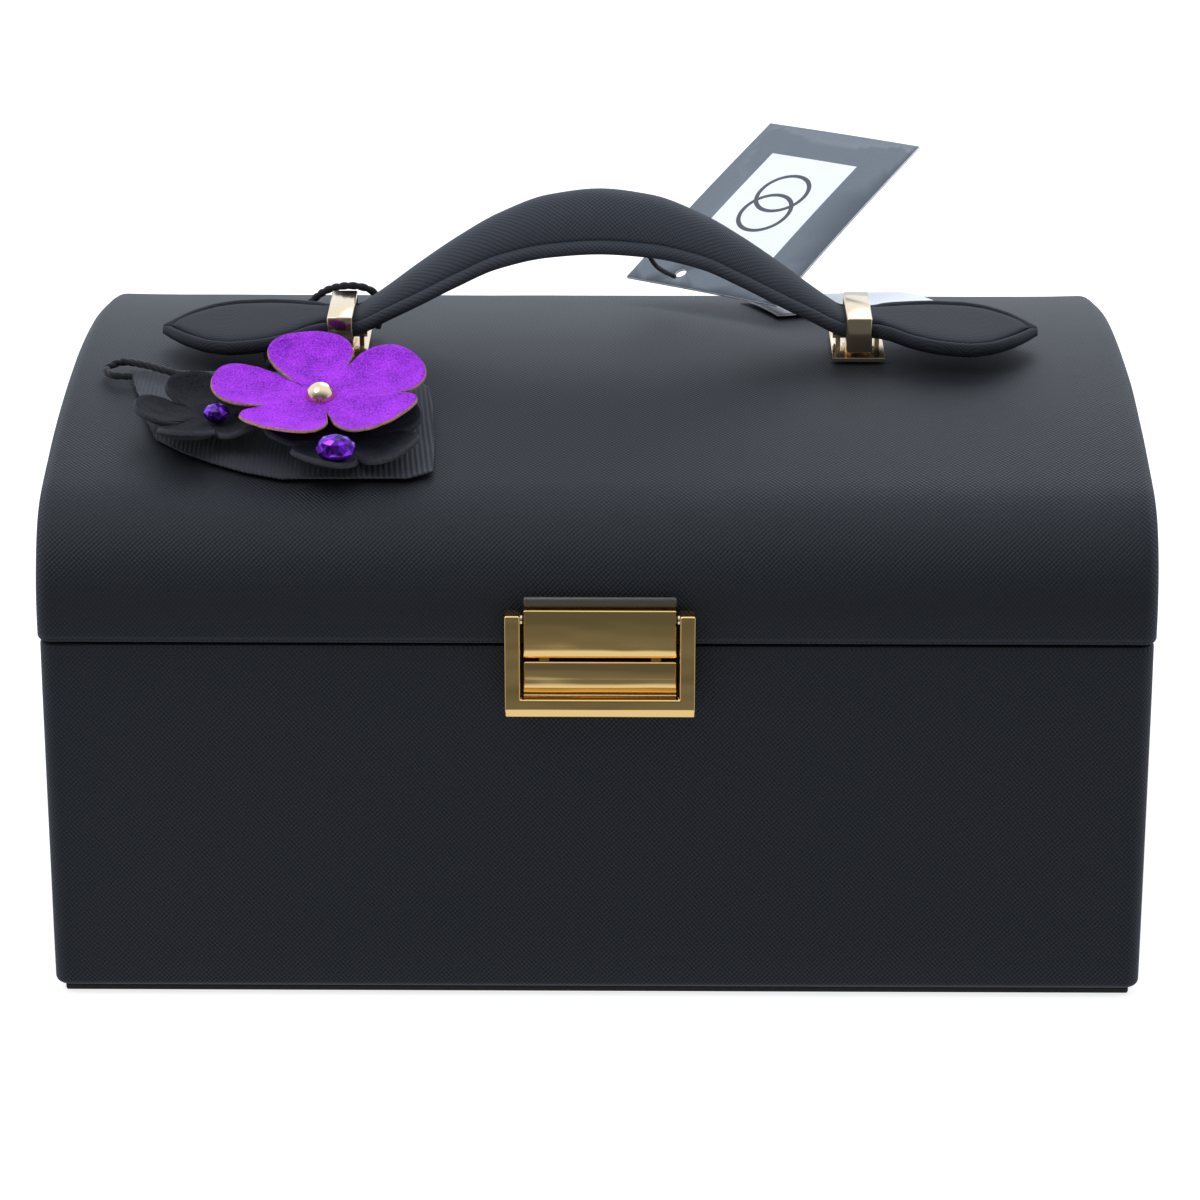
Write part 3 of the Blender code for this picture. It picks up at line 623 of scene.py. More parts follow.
def vault(inset, bottom):
    """The lid's side outline, a distance inside its outer face, from front to rear."""
    upright, shoulder, crest = 4, 16, 40
    middle = LID_Y - SHOULDER_R
    crest_c = CREST - VAULT_R
    lean = math.atan2(SHOULDER_Z - crest_c, middle)
    wall = [bottom + (SHOULDER_Z - bottom) * i / upright for i in range(upright)]
    points = [(-LID_Y + inset, z) for z in wall]
    points += arc((-middle, SHOULDER_Z), SHOULDER_R - inset, math.pi, math.pi - lean, shoulder)
    points += arc((0, crest_c), VAULT_R - inset, math.pi - lean, lean, crest)[1:-1]
    points += arc((middle, SHOULDER_Z), SHOULDER_R - inset, lean, 0, shoulder)
    return points + [(LID_Y - inset, z) for z in reversed(wall)]


def rounded_rect(half_x, half_y, radius):
    """A rectangle with round corners, counter-clockwise from the front left one."""
    points, steps_x, steps_y, corner = [], 34, 26, 7
    x, y = half_x - radius, half_y - radius
    for number, (cx, cy, fixed, a, b, steps) in enumerate((
            (x, -y, -half_y, -x, x, steps_x), (x, y, half_x, -y, y, steps_y),
            (-x, y, half_y, x, -x, steps_x), (-x, -y, -half_x, y, -y, steps_y))):
        for i in range(1, steps):
            along = a + (b - a) * i / steps
            points.append((along, fixed) if number % 2 == 0 else (fixed, along))
        for i in range(corner + 1):
            turn = math.radians(90 * (number - 1) + 90 * i / corner)
            points.append((cx + radius * math.cos(turn), cy + radius * math.sin(turn)))
    return points


def running_length(points):
    total = [0.0]
    for p, q in zip(points, points[1:] + points[:1]):
        total.append(total[-1] + math.dist(p, q))
    return total


def pad_surface(bm, fade):
    """Crown each padded face a little, unevenly; fade(point) is 0 where it stays put."""
    bm.normal_update()
    moves = []
    for vert in bm.verts:
        at = vert.co
        wave = noise.noise(at * 0.022 + Vector((3.1, 0.7, 5.3)))
        wave += 0.45 * noise.noise(at * 0.06 + Vector((9.4, 2.2, 1.3)))
        moves.append((vert, vert.normal * fade(at) * (FOAM_WAVE * wave + FOAM_SWELL)))
    for vert, move in moves:
        vert.co += move


def edge_fade(value, half, width):
    """1 well inside a face of the given half size, falling to 0 at its edge."""
    return smoothstep((half - abs(value)) / width)


def turned_in_rim(bm, half_x, half_y, z, up):
    """The leatherette's edge, rolled over the boards; up is +1 for a case, -1 for a lid."""
    rows, uvs = [], []
    steps = ((0.0, -RIM_R), (0.07, -0.62 * RIM_R), (0.25, -0.28 * RIM_R), (0.5, -0.07 * RIM_R),
             (RIM_R, 0.0), (4.5, 0.0), (TURN_IN, 0.0))
    for inset, rise in steps:
        ring = rounded_rect(half_x - inset, half_y - inset, max(CORNER_R - inset, 0.4))
        rows.append([(x, y, z + up * rise) for x, y in ring])
        uvs.append([(s, z + inset) for s in running_length(ring)])
    grid(bm, rows, closed=True, uvs=uvs, flip=up < 0)


def cover(name, bm, body, node):
    """The outer skin, whose thickness goes inward."""
    obj = finished(name, bm, LEATHER, body, "leatherette", node)
    modifier(obj, "SOLIDIFY", thickness=LEATHER_T * MM, offset=-1.0)


def make_case_cover():
    """The skin round the four walls and the floor: flat padded faces with soft corners."""
    bm = bmesh.new()
    rows, uvs = [], []
    top, start, steps = CASE_RIM - RIM_R, CASE_LOW + FOOT_R, 14
    levels = [(12.0, CASE_LOW)]
    levels += [(FOOT_R * s, CASE_LOW + FOOT_R * c) for s, c in quarter(6)]
    levels += [(0.0, start + (top - start) * i / steps) for i in range(1, steps + 1)]
    for inset, z in levels:
        ring = rounded_rect(CASE_X - inset, CASE_Y - inset, max(CORNER_R - inset, 1.0))
        rows.append([(x, y, z) for x, y in ring])
        uvs.append([(s, z - inset) for s in running_length(ring)])
    under = bm.faces.new(reversed(grid(bm, rows, closed=True, uvs=uvs)[0]))
    layer = uv_layer(bm)
    for loop in under.loops:
        loop[layer].uv = loop.vert.co.xy

    def fade(at):
        along, half = (at.x, CASE_X) if abs(at.y) > CASE_Y - 1 else (at.y, CASE_Y)
        upright = edge_fade(at.z - (CASE_LOW + top) / 2, (top - CASE_LOW) / 2, 12)
        return edge_fade(along, half, 14) * upright

    pad_surface(bm, fade)
    turned_in_rim(bm, CASE_X, CASE_Y, CASE_RIM, 1)
    bmesh.ops.remove_doubles(bm, verts=bm.verts, dist=0.01)
    cover("case_leatherette", bm, "case", "case_cover")


def make_lid_cover():
    """The skin of the vaulted lid; its top sinks a little between the rounded ends."""
    bm = bmesh.new()
    layer = uv_layer(bm)
    base = LID_RIM + RIM_R
    flat, steps = LID_X - CORNER_R, 17
    right = [(flat * i / steps, 0.0) for i in range(steps)]
    right += [(LID_X - CORNER_R * s, CORNER_R * c) for s, c in quarter(7)]
    stations = [(-x, inset) for x, inset in reversed(right)] + right[1:]
    rows, uvs = [], []
    for x, inset in stations:
        outline = vault(inset, base)
        rows.append([(x, y, z) for y, z in outline])
        uvs.append([(x, s) for s in running_length(outline)])
    made = grid(bm, rows, uvs=uvs)
    upright = 5
    for ring, side in ((made[0], -1), (made[-1], 1)):
        columns = []
        for vert in ring[upright - 1:len(ring) - upright + 1]:
            top = vert.co.z
            column = [bm.verts.new((vert.co.x, vert.co.y, base + (top - base) * i / (upright - 1)))
                      for i in range(upright - 1)]
            columns.append(column + [vert])
        for a, b in zip(columns, columns[1:]):
            for i in range(upright - 1):
                face = bm.faces.new((a[i], a[i + 1], b[i + 1], b[i]))
                for loop in face.loops:
                    loop[layer].uv = (loop.vert.co.y * side, loop.vert.co.z)
    bmesh.ops.remove_doubles(bm, verts=bm.verts, dist=0.01)
    bmesh.ops.recalc_face_normals(bm, faces=bm.faces)

    def fade(at):
        if abs(at.x) > LID_X - 0.5:
            value, half, climb, share = at.y, LID_Y, 12, 0.8
        else:
            value, half, climb, share = at.x, LID_X, 14, -0.9
        return edge_fade(value, half, 16) * min(max((at.z - base) / climb, 0), 1) * share

    pad_surface(bm, fade)
    turned_in_rim(bm, LID_X, LID_Y, LID_RIM, -1)
    cover("lid_leatherette", bm, "lid", "lid_cover")


# ---- handle

def along_strap(at, column):
    """A column of the strap's table at each distance, on a smooth curve that never overshoots."""
    x = np.array([row[0] for row in STRAP], float)
    v = np.array([row[column] for row in STRAP], float)
    rise = np.diff(v) / np.diff(x)
    slope = np.zeros(len(x))
    same = rise[1:] * rise[:-1] > 0
    slope[1:-1][same] = 2 * (rise[1:] * rise[:-1])[same] / (rise[1:] + rise[:-1])[same]
    slope[-1] = rise[-1]
    reach = np.clip(np.abs(at), 0, x[-1])
    k = np.clip(np.searchsorted(x, reach) - 1, 0, len(x) - 2)
    span = x[k + 1] - x[k]
    t = (reach - x[k]) / span
    return ((1 + 2 * t) * (1 - t) ** 2 * v[k] + t * (1 - t) ** 2 * span * slope[k]
            + t * t * (3 - 2 * t) * v[k + 1] + t * t * (t - 1) * span * slope[k + 1])


def strap_section(half, bottom, top, slope, leaf):
    """Half of a section, from the underside's middle round the piping to the top's middle."""
    rise = top - bottom
    roll = min(PIPING_R, rise * 0.46, half * 0.45)
    reach = min(roll * math.sqrt(1 + slope * slope), half / 2)
    points = [((half - reach) * i / 4, bottom) for i in range(4)]
    end = math.radians(112 + 8 * leaf)
    for i in range(11):
        a = -math.pi / 2 + (end + math.pi / 2) * i / 10
        points.append((half - reach + reach * math.cos(a), bottom + roll + roll * math.sin(a)))
    open_share = min(max((half / (2 * reach) - 1) / 0.6, 0.0), 1.0)
    inset = reach * (1.55 + 0.45 * leaf)
    seam_y = (half - inset) * open_share
    seam_z = bottom + roll * (1.62 - 0.37 * leaf * open_share)
    points.append((seam_y, seam_z))
    shape = 1.0 - 0.52 * leaf
    crown = seam_z + (top - seam_z) * max(open_share, 0.2)
    for i in range(1, 15):
        a = math.pi / 2 * i / 14
        points.append((seam_y * math.cos(a) ** shape,
                       seam_z + (crown - seam_z) * math.sin(a) ** shape))
    return points, (seam_y, seam_z)


def make_strap():
    """The padded strap: a domed upper on a flat underside, a rolled edge and a stitched seam."""
    reach = STRAP[-1][0]
    places = np.linspace(-reach, reach, 301)
    bottoms, tops, halves = (along_strap(places, column) for column in (1, 2, 3))
    slopes = np.gradient(halves, places)
    bm = bmesh.new()
    rows, uvs, seams = [], [], []
    run = 0.0
    for i, x in enumerate(places):
        leaf = smoothstep((abs(x) - LEAF_FROM) / LEAF_BLEND)
        half, seam = strap_section(halves[i], bottoms[i], tops[i], slopes[i], leaf)
        ring = half + [(-y, z) for y, z in reversed(half[1:-1])]
        if i:
            run += math.hypot(places[i] - places[i - 1], tops[i] - tops[i - 1])
        rows.append([(x, y, z) for y, z in ring])
        uvs.append([(s, run) for s in running_length(ring)])
        seams.append((Vector((x, *seam)), leaf))
    tube(bm, rows, uvs)
    strap = finished("handle_strap_leather", bm, STRAP_LEATHER, "handle", "leatherette",
                     "handle_strap", sharp=70)
    make_stitches(seams)


def capsule(bm, start, end, radius):
    """A short thread between two points, thin at its ends."""
    along = end - start
    side, up = frames_along([start, end])[0]
    rows = []
    for t, share in ((0, 0.35), (0.12, 0.85), (0.5, 1.0), (0.88, 0.85), (1, 0.35)):
        at = start + along * t
        rows.append([at + radius * share * (c * side + s * up) for c, s in circle(6)])
    tube(bm, rows)


def make_stitches(seams):
    """Thread along the strap's seam, a stitch every 3 mm on both sides of both leaves."""
    bm = bmesh.new()
    pitch, share, radius = 3.0, 0.68, 0.34
    for side in (1, -1):
        for end in (1, -1):
            line = [Vector((p.x, p.y * side, p.z + 0.12)) for p, leaf in seams
                    if leaf > 0.9 and p.x * end > 0 and p.y > 1.0]
            if end < 0:
                line.reverse()
            gone, marks = 0.0, [line[0]]
            for p, q in zip(line, line[1:]):
                gone += (q - p).length
                if gone >= pitch * len(marks):
                    marks.append(q)
            for p, q in zip(marks, marks[1:]):
                capsule(bm, p, p.lerp(q, share), radius)
    finished("handle_stitches", bm, PIPING, "handle", "cord", sharp=None)


# ---- gold fittings

def refined(node, width, look, body, segments=3):
    """A CAD node with its sharp edges softened, which stands for the node."""
    bm = bmesh.new()
    bm.from_mesh(NODES[node].data)
    bmesh.ops.remove_doubles(bm, verts=bm.verts, dist=1e-6)
    bmesh.ops.dissolve_limit(bm, angle_limit=math.radians(1.0), verts=bm.verts, edges=bm.edges)
    bmesh.ops.scale(bm, vec=(1 / MM,) * 3, verts=bm.verts)
    obj = as_piece(node + "_soft", bm, look, body, sharp=35)
    modifier(obj, "BEVEL", width=width * MM, segments=segments, limit_method="ANGLE",
             angle_limit=math.radians(25), harden_normals=True)
    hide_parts(node)
    return obj


def body_of(node):
    return NODES[node]["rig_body"]


def make_fittings():
    make_clasp_plate("clasp_plate", 3.0, 1.2, 0.0)
    make_clasp_plate("catch_plate", 5.2, 2.2, 0.8)
    bail = refined("clasp_bail", 0.55, GOLD_WAVY, "bail", segments=4)
    bail.modifiers["bevel"].use_clamp_overlap = False
    for node, width in (("handle_ring", 0.25), ("ring_base", 0.18), ("mirror_frame", 0.5),
                        ("hinge_case_leaf", 0.2), ("hinge_lid_leaf", 0.2)):
        for side in ("",) if node == "mirror_frame" else ("_left", "_right"):
            refined(node + side, width, GOLD, body_of(node + side))
    refined("clasp_strip", 0.3, DARK_METAL, "lid")
    make_screws()
    make_clasp_prongs()


def make_clasp_plate(node, band, depth, forward):
    """A pressed plate with a slightly bowed face.

    It rolls back by depth over the last band of its height."""
    lo, hi = low(node) - Vector((0, forward, 0)), high(node)
    roll, bow = 0.45, 0.16
    face = [(lo.y + bow + roll * s, hi.z - roll * c) for s, c in quarter(6)]
    for i in range(1, 17):
        t = i / 16
        hollow = bow * (1.0 if t < 0.5 else 0.6)
        face.append((lo.y + hollow * (2 * t - 1) ** 2,
                     hi.z - roll - t * (hi.z - lo.z - roll - band)))
    face += [(lo.y + bow * 0.6 + depth * c, lo.z + band * s) for s, c in quarter(12)[1:]]
    section = face + [(hi.y, lo.z), (hi.y, hi.z)]
    stations = [(lo.x + roll * c, roll * s) for s, c in quarter(5)]
    stations += [(lo.x + hi.x - x, cut) for x, cut in reversed(stations)]
    rows = [[(x, min(max(y, lo.y + cut), hi.y), min(max(z, lo.z + cut), hi.z - cut))
             for y, z in section] for x, cut in stations]
    bm = bmesh.new()
    tube(bm, rows)
    bmesh.ops.remove_doubles(bm, verts=bm.verts, dist=0.002)
    finished(node + "_pressed", bm, GOLD_WAVY, body_of(node), "gold", node, sharp=50)


def make_screws():
    """Dome-head screws, two on each hinge leaf."""
    dome = ((2.1, -0.05), (2.1, 0.12), (1.75, 0.42), (1.2, 0.62), (0.5, 0.7), (0.12, 0.7))
    apart, inset = 11.0, 4.6
    for side in ("left", "right"):
        for part in ("case", "lid"):
            lo, hi = low(f"hinge_{part}_leaf_{side}"), high(f"hinge_{part}_leaf_{side}")
            leaf, z = (1.5, lo.z + inset) if part == "case" else (2.0, hi.z - inset)
            bm = bmesh.new()
            for offset in (-apart, apart):
                at = ((lo.x + hi.x) / 2 + offset, CASE_Y + leaf, z)
                lathe(bm, dome, Matrix.Translation(at) @ Matrix.Rotation(-math.pi / 2, 4, "X"))
            finished(f"hinge_screws_{part}_{side}", bm, GOLD, part, "gold", sharp=50)


def make_clasp_prongs():
    """Two small tongues between the lid's plate and the catch plate."""
    top, bottom = low("clasp_plate").z, high("catch_plate").z
    middle = (low("clasp_plate").x + high("clasp_plate").x) / 2
    half_gap, wide, thick, depth = 13.5, 2.4, 1.2, -102.2
    for name, x in (("left", middle - half_gap), ("right", middle + half_gap)):
        bm = bmesh.new()
        bmesh.ops.create_cube(bm, size=1.0)
        bmesh.ops.scale(bm, vec=(wide, thick, top - bottom + 0.5), verts=bm.verts)
        bmesh.ops.bevel(bm, geom=bm.edges[:], offset=0.2, segments=2, affect="EDGES")
        bmesh.ops.translate(bm, vec=(x, depth, (top + bottom) / 2 - 0.15), verts=bm.verts)
        as_piece("clasp_prong_" + name, bm, GOLD, "case", sharp=50)


# ---- charm

def petal_reach(phi, notches):
    """How far a petal reaches at an angle from its own middle, as a share of its full length."""
    share = min(abs(phi) / (math.pi / 5), 1.0)
    notch = notches[0] if phi < 0 else notches[1]
    return notch + (1 - notch) * (1 - share ** 3.4) ** 0.55


def make_flower(name, node, looks, centre, radius, tilt, thickness, cup, curl, twist, slot, seed,
                notches=(0.45, 0.5, 0.4, 0.5, 0.45), lengths=(1, 1, 1, 1, 1), turn=math.pi / 2,
                under=None):
    """One die-cut flower of five cupped petals.

    Notches are how far out the cut beside each petal starts, as a share of the radius.

    Where it reaches under another flower, its petals are pressed down below that one."""
    random.seed(seed)
    petals, per, rings = 5, 26, 16
    notch = min(notches)
    lifts = [random.uniform(-0.5, 1.0) for _ in range(petals)]
    twists = [random.uniform(0.5, 1.2) * random.choice((1, 1, -1)) for _ in range(petals)]
    place = Matrix.Translation(centre) @ Matrix.Rotation(tilt, 4, "X")
    rows = []
    for k in range(1, rings + 1):
        e = (k / rings) ** 0.85
        row = []
        for i in range(petals * per):
            petal = i // per
            phi = ((i % per) / per - 0.5) * math.tau / petals
            a = math.tau * petal / petals + phi + turn
            sides = (notches[petal], notches[(petal + 1) % petals])
            middle = math.cos(phi * petals / 2)
            stretch = 1 + (lengths[petal] - 1) * middle ** 2
            share = petal_reach(phi, sides) * stretch * e
            out = max(share - notch * 0.8, 0.0) / (1 - notch * 0.8)
            side = phi / (math.pi / petals)
            z = cup * (0.35 * share + out ** 1.5 * (0.5 + 0.25 * lifts[petal]))
            z += curl * e ** 6 * (0.55 + 0.45 * middle) * out
            z += twist * twists[petal] * side * out
            z -= 0.5 * cup * math.sin(math.pi * min(out, 1.0)) * (1 - side * side) * 0.5
            at = Vector((share * radius * math.cos(a), share * radius * math.sin(a), z))
            z += 0.22 * noise.noise(at * 0.35 + Vector((seed, 0, 0)))
            point = place @ Vector((at.x, at.y, z))
            if under:
                hit = under.ray_cast(Vector((point.x, point.y, CREST - 20)), Vector((0, 0, 1)))[0]
                if hit:
                    point.z = min(point.z, hit.z - thickness / 2 - 0.5)
            point.z = max(point.z, lid_top(point.y) + 1.8)
            row.append(point)
        rows.append(row)
    bm = bmesh.new()
    ring = grid(bm, rows, closed=True)[0]
    hub = bm.verts.new(place @ Vector((0, 0, -0.1)))
    for a, b in zip(ring, ring[1:] + ring[:1]):
        bm.faces.new((hub, a, b))
    return finished(name, bm, looks, "charm", slot, node, sheet=thickness, sharp=80,
                    material_offset_rim=1)


def make_patch():
    """The ribbed ribbon patch under the flowers, lying along the lid's curve."""
    left_side = [(row[1], row[0]) for row in PATCH]
    right_side = [(row[2], row[0]) for row in PATCH]
    rear_x, rear_y = zip(left_side[0], *right_side[:-1])
    front_x, front_y = zip(*left_side, right_side[-1], right_side[-2])
    left, right, across, along = PATCH[0][1], PATCH[-2][2], 360, 60
    clear, soft = 1.25, 0.7             # height over the lid; width of the flat selvedge
    rows, uvs = [], []
    for i in range(across + 1):
        x = left + (right - left) * i / across
        rear, front = float(np.interp(x, rear_x, rear_y)), float(np.interp(x, front_x, front_y))
        fan = max((x + 70) / 30, 0.0)
        edge = min((x - left) / soft, (right - x) / soft, 1.0)
        column, mapped = [], []
        for j in range(along + 1):
            y = rear + (front - rear) * j / along
            rib = x - fan * 0.10 * (PATCH[0][0] - y)
            ridge = 0.5 + 0.5 * math.cos(math.tau * rib / RIB_PITCH)
            drape = 0.35 * math.sin(x * 0.09 + 1.0) * math.sin((y + 20) * 0.07)
            drape += 0.5 * max((x + 62) / 22, 0.0) * max((-y - 55) / 24, 0.0)
            column.append((x, y, lid_top(y) + clear + drape * 0.8
                           + RIB_HEIGHT * (ridge - 0.5) * edge))
            mapped.append((rib, y))
        rows.append(column)
        uvs.append(mapped)
    bm = bmesh.new()
    grid(bm, rows, uvs=uvs)
    bmesh.ops.remove_doubles(bm, verts=bm.verts, dist=0.004)
    obj = finished("charm_ribbon_patch", bm, GROSGRAIN, "charm", "ribbon", "charm_patch", up=1,
                   sheet=PATCH_T, offset=-1.0)


def make_gem(name, node, lift=0.0, stretch=(1.0, 1.0, 1.0)):
    """An oval stone cut in rings of flat facets, leaning forward a little."""
    centre = (low(node) + high(node)) / 2 + Vector((0, 0, lift))
    size = (high(node) - low(node)) * Vector(stretch)
    sides = 10
    place = (Matrix.Translation(centre) @ Matrix.Rotation(math.radians(14), 4, "X")
             @ Matrix.Diagonal((size.x / 2, size.y / 2, size.z / 2, 1.0)))
    cut = ((0.30, -0.72), (0.72, -0.42), (1.0, -0.02), (0.94, 0.22), (0.70, 0.52), (0.38, 0.68))
    bm = bmesh.new()
    tube(bm, [[place @ Vector((x, y, height * 1.2))
               for x, y in circle(sides, share, math.pi / sides * (number % 2))]
              for number, (share, height) in enumerate(cut)])
    bmesh.ops.triangulate(bm, faces=[f for f in bm.faces if len(f.verts) == 4])
    bmesh.ops.recalc_face_normals(bm, faces=bm.faces)
    obj = as_piece(name, bm, CRYSTAL, "charm", smooth=False)
    modifier(obj, "BEVEL", width=0.06 * MM, segments=1, limit_method="ANGLE",
             angle_limit=math.radians(8))
    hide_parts(node)


def make_bead():
    """A polished ball sunk in the petals, its drilled eye turned to the front."""
    base, top = low("charm_bead"), high("charm_bead")
    radius = BEAD_SHARE * (top.x - base.x) / 2
    centre = Vector(((base.x + top.x) / 2, (base.y + top.y) / 2, base.z - 0.8))
    profile = [(radius * math.cos(a), radius * math.sin(a))
               for a in (math.radians(-75 + 153 * i / 24) for i in range(25))]
    profile += [(radius * 0.17, radius * 0.90), (radius * 0.15, radius * 0.60)]
    bm = bmesh.new()
    lathe(bm, profile, Matrix.Translation(centre) @ Matrix.Rotation(math.radians(82), 4, "X"), 40)
    finished("charm_gold_bead", bm, GOLD, "charm", "gold", "charm_bead", sharp=50)


def make_charm():
    make_patch()
    top = make_flower("purple_flower", "charm_flower", [PURPLE, CUT_EDGE],
                      FLOWER_C + Vector((0, 0, 0.8)), FLOWER_R, FLOWER_TILT,
                      0.7, cup=3.4, curl=1.3, twist=0.7, slot="purple_suede", seed=SEED,
                      notches=(0.50, 0.32, 0.56, 0.34, 0.70), lengths=(1.0, 1.0, 1.0, 0.97, 1.0),
                      turn=math.pi / 2 + 0.21)
    bm = bmesh.new()
    bm.from_mesh(top.data)
    bmesh.ops.scale(bm, vec=(1 / MM,) * 3, verts=bm.verts)
    under = BVHTree.FromBMesh(bm)
    bm.free()
    for side, centre, radius, tilt, seed in (
            ("left", Vector((-97, -56, 136.6)), 17.5, math.radians(9.5), 11),
            ("right", Vector((-62, -64, 134.6)), 20.0, math.radians(12), 12)):
        make_flower("dark_flower_" + side, "charm_dark_flower_" + side, [DARK_SUEDE, DARK_EDGE],
                    centre, radius, tilt, 1.3, cup=3.0, curl=1.6, twist=1.1, slot="dark_suede",
                    seed=seed, turn=math.pi / 2 + 0.3, under=under)
    make_gem("stone_left", "charm_stone_left")
    make_gem("stone_right", "charm_stone_right", lift=1.2, stretch=(1.05, 1.0, 1.25))
    make_bead()


# ---- tag and leaflet

def make_tag():
    """A printed card with a slight bow, punched for its string."""
    place = (Matrix.Translation(TAG_CORNER)
             @ Matrix.Rotation(TAG_TURN.length, 4, TAG_TURN.normalized()))
    bm = bmesh.new()
    layer = uv_layer(bm)
    corners = ((0, 0), (TAG_W, 0), (TAG_W, TAG_H), (0, TAG_H), (0, 0))
    steps = 14
    edge = [(a[0] + (b[0] - a[0]) * i / steps, a[1] + (b[1] - a[1]) * i / steps)
            for a, b in zip(corners, corners[1:]) for i in range(steps)]
    hole = [(TAG_HOLE[0] + x, TAG_HOLE[1] + y) for x, y in circle(24, TAG_HOLE_R)]
    loops = []
    for outline in (edge, hole):
        verts = [bm.verts.new((u, v, 0)) for u, v in outline]
        loops += [bm.edges.new((a, b)) for a, b in zip(verts, verts[1:] + verts[:1])]
    bmesh.ops.triangle_fill(bm, edges=loops, use_beauty=True, use_dissolve=False)
    bmesh.ops.subdivide_edges(bm, edges=[e for e in bm.edges if e.calc_length() > 9], cuts=3,
                              use_grid_fill=True)
    bmesh.ops.triangulate(bm, faces=bm.faces[:])
    for face in bm.faces:
        for loop in face.loops:
            loop[layer].uv = loop.vert.co.xy
    if sum(f.normal.z for f in bm.faces) < 0:
        bmesh.ops.reverse_faces(bm, faces=bm.faces)
    for vert in bm.verts:
        x, y = vert.co.xy
        bow = 0.9 * math.sin(math.pi * y / TAG_H) + 0.3 * math.sin(math.pi * x / TAG_W)
        vert.co = place @ Vector((x, y, bow * 0.5))
    obj = as_piece("hang_tag_card", bm, [TAG_PRINT, WHITE_CARD], "tag", sharp=60)
    thicken(obj, TAG_T, material_offset_rim=1)
    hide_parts("hang_tag")


def make_leaflet():
    """A white folded card: two thin leaves, one lying on the other."""
    bm = bmesh.new()
    along = Vector((math.cos(LEAFLET_TURN), math.sin(LEAFLET_TURN)))
    lowest, nx, ny = 0.55, 18, 12
    for level, shift in ((lowest, 0.0), (1.05, 0.9)):
        rows = []
        for j in range(ny + 1):
            v = LEAFLET_H * j / ny
            row = []
            for i in range(nx + 1):
                u = shift + (LEAFLET_W - 2 * shift) * i / nx
                at = LEAFLET_CORNER + along * u + along.orthogonal() * v
                curl = 0.25 * math.sin(j / ny * math.pi) + 0.5 * (level - lowest) * j / ny
                row.append((at.x, at.y, lid_top(at.y) + level + curl))
            rows.append(row)
        grid(bm, rows, uvs=[[p[:2] for p in row] for row in rows])
    finished("leaflet_card", bm, WHITE_CARD, "lid", "card", "leaflet", sheet=0.22)


# ---- inside

def make_ring_pad():
    """Four upholstered foam rolls with slits between them, crowned along their length."""
    lo, hi = low("ring_pad"), high("ring_pad")
    rolls, slit = 4, 1.0
    pitch = (hi.y - lo.y + slit) / rolls
    radius = (pitch - slit) / 2
    crown, steps = hi.z - radius, 40
    bm = bmesh.new()
    for number in range(rolls):
        middle = lo.y + pitch * number + radius
        rows = []
        for j in range(steps + 1):
            t = j / steps
            x = lo.x + (hi.x - lo.x) * t
            end = min(t, 1 - t) * (hi.x - lo.x)
            pull = 1 - 0.5 * max(1 - end / 6.0, 0.0) ** 2
            sag = 0.35 * noise.noise(Vector((x * 0.05, number * 3.7, 0.0)))
            ring = []
            for c, s in circle(28):
                tall, lift = (radius * pull, sag) if s > 0 else (crown - lo.z, 0)
                ring.append((x, middle + radius * pull * math.copysign(abs(c) ** 0.8, c),
                             crown + tall * math.copysign(abs(s) ** 0.8, s) + lift))
            rows.append(ring)
        tube(bm, rows)
    obj = finished("ring_pad_rolls", bm, VELVET, "tray", "velvet", "ring_pad", sharp=75)


def make_lid_lining():
    """The padded panel behind the mirror, whose lower face swells towards its middle."""
    lo, hi = low("lid_lining"), high("lid_lining")
    half_x, half_y = (hi.x - lo.x) / 2, (hi.y - lo.y) / 2
    nx, ny = 56, 40
    bm = bmesh.new()
    rows = []
    for j in range(ny + 1):
        v = j / ny * 2 - 1
        row = []
        for i in range(nx + 1):
            u = i / nx * 2 - 1
            edge = min((1 - abs(u)) * half_x, (1 - abs(v)) * half_y)
            swell = 1.7 * (1 - math.exp(-edge / 4.0))
            wave = 0.12 * noise.noise(Vector((u * 6, v * 5, 2.0)))
            row.append((u * half_x, v * half_y, hi.z - 0.5 - swell - wave))
        rows.append(row)
    grid(bm, rows)
    obj = finished("lid_lining_pad", bm, VELVET, "lid", "velvet", "lid_lining", up=-1, sheet=0.4,
                   sharp=None, offset=-1.0)


def make_tray_tabs():
    """Ribbon loops that lift the tray: one strip folded over, both ends sewn to the wall."""
    bend, across = 1.3, 40
    fifths = (0, 0.2, 0.4, 0.6, 0.8, 1.0)
    for side, name in ((-1, "left"), (1, "right")):
        lo, hi = low("tray_tab_" + name), high("tray_tab_" + name)
        x, top, wide = (lo.x + hi.x) / 2, hi.z - bend, hi.y - lo.y
        path = [(x + side * 0.2, lo.z + t * (top - lo.z)) for t in fifths]
        path += [(x - side * (bend * (1 - math.cos(a)) - 0.2), top + bend * math.sin(a))
                 for a in (math.pi * i / 8 for i in range(1, 9))]
        path += [(x - side * (2 * bend - 0.2) + side * (2 * bend - 0.9) * t,
                  top + t * (lo.z + 4 - hi.z + bend)) for t in fifths[1:]]
        rows, uvs, run = [], [], 0.0
        for k, (px, pz) in enumerate(path):
            if k:
                run += math.dist(path[k - 1], path[k])
            rows.append([(px + side * 0.04 * math.cos(math.tau * i * wide / across / RIB_PITCH),
                          lo.y + wide * i / across, pz) for i in range(across + 1)])
            uvs.append([(run * 2.5, lo.y + wide * i / across) for i in range(across + 1)])
        bm = bmesh.new()
        grid(bm, rows, uvs=uvs)
        obj = finished("tray_ribbon_" + name, bm, RIBBON, "tray", "ribbon", "tray_tab_" + name,
                       sheet=0.35)


# ---- carried-over nodes

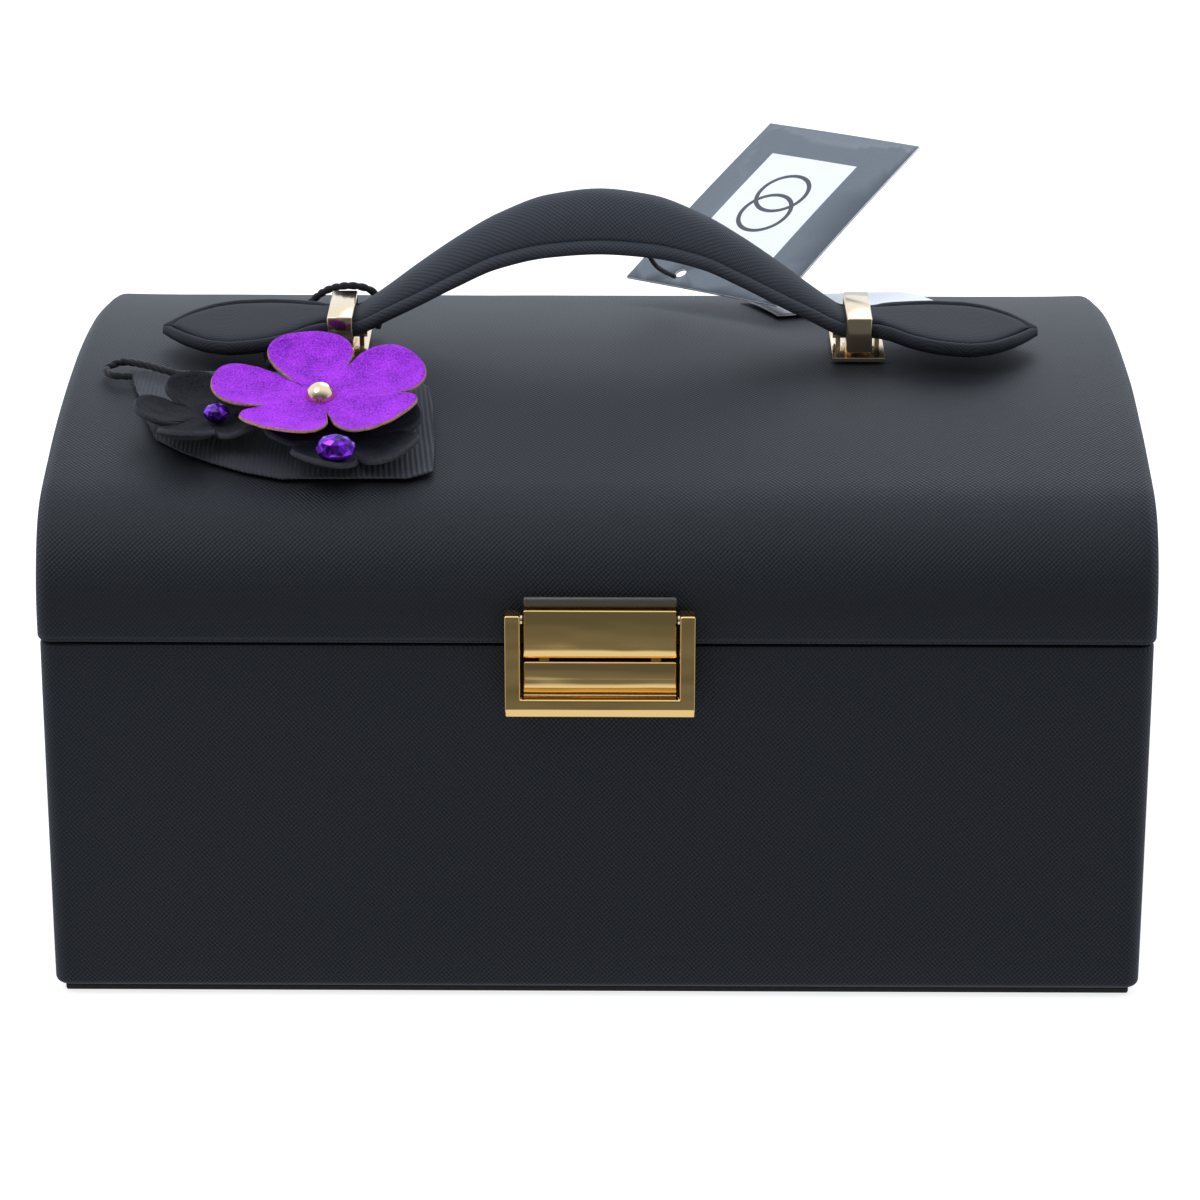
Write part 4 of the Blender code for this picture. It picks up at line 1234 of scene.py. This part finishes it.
def dress_nodes():
    """A procedural material for each CAD node that is shown as it is."""
    for look, names in (
            (BASE, "base_board"),
            (BOARD, "case_floor_board case_front_board case_back_board case_left_board "
                    "case_right_board"),
            (VELVET, "lid_vault_board lid_end_board_left lid_end_board_right case_lining "
                     "tray_ledge_left tray_ledge_right divider_long divider_cross_left "
                     "divider_cross_right tray_shell tray_divider_long tray_divider_cross"),
            (MIRROR, "mirror_glass"), (STEEL, "clasp_backing"),
            (GOLD, "hinge_pin_left hinge_pin_right clasp_pin_left clasp_pin_right "
                   "ring_pin_left ring_pin_right")):
        for name in names.split():
            NODES[name].data.materials.clear()
            NODES[name].data.materials.append(look)


# ---- studio

def make_floor():
    look = Look("studio_floor", (0.45, 0.45, 0.45), 0.9, Specular_IOR_Level=0.0,
                Emission_Color=(1.0, 1.0, 1.0), Emission_Strength=0.78)
    look.put("Base Color", look.mix(look.noise(look.object_mm(), 0.002), (0.44, 0.44, 0.44),
                                    (0.46, 0.46, 0.46)))
    bm = bmesh.new()
    bmesh.ops.create_grid(bm, x_segments=1, y_segments=1, size=6.0)
    mesh = bpy.data.meshes.new("floor")
    bm.to_mesh(mesh)
    bm.free()
    mesh.materials.append(look.material)
    obj = add_object("floor", mesh)
    obj.location.z = -0.0002
    obj.visible_glossy = False


def make_world():
    """Soft light from above and behind, darker from the front, bright again from straight below."""
    world = bpy.data.worlds.new("studio")
    bpy.context.scene.world = world
    world.use_nodes = True
    light = Nodes(world.node_tree, "Background")
    x, y, z = light.parts(light.node("TexCoord", {}))

    def ramp(*settings):
        """From value, start and end to a number between a and b."""
        return light.node("MapRange", dict(enumerate(settings)), interpolation_type="SMOOTHSTEP")

    sky = ramp(light.weigh(y, 0.85, z, 0.75), -0.55, 0.60, 0.12, 1.15)
    below = ramp(z, -0.42, -0.62, 0.0, 0.85)
    horizon = ramp(z, -0.28, -0.42, 0.0, 0.07)
    sides = ramp(light.math("ABSOLUTE", x), 0.72, 0.95, 0.0, 0.7)
    around = light.math("MAXIMUM", light.math("MAXIMUM", sky, below), sides)
    light.put("Strength", light.math("ADD", around, horizon))
    light.put("Color", (0.89, 0.96, 1.10))


def area_light(name, place, target, size, power, color=(1.0, 1.0, 1.0)):
    data = bpy.data.lights.new(name, "AREA")
    data.shape, data.size, data.energy, data.color = "DISK", size, power, color
    obj = add_object(name, data)
    obj.location = place
    obj.rotation_euler = (Vector(target) - Vector(place)).to_track_quat("-Z", "Y").to_euler()


def make_lights():
    area_light("key", (-0.7, -0.5, 1.5), (0, 0, 0.1), 1.0, 6.0)
    area_light("rim", (0.4, 1.3, 1.3), (0, 0, 0.1), 1.2, 5.0, (0.92, 0.96, 1.0))


make_case_cover()
make_lid_cover()
make_strap()
make_fittings()
make_charm()
make_tag()
make_leaflet()
make_ring_pad()
make_lid_lining()
make_tray_tabs()
dress_nodes()
make_floor()
make_world()
make_lights()
bpy.context.scene.view_settings.view_transform = "Standard"
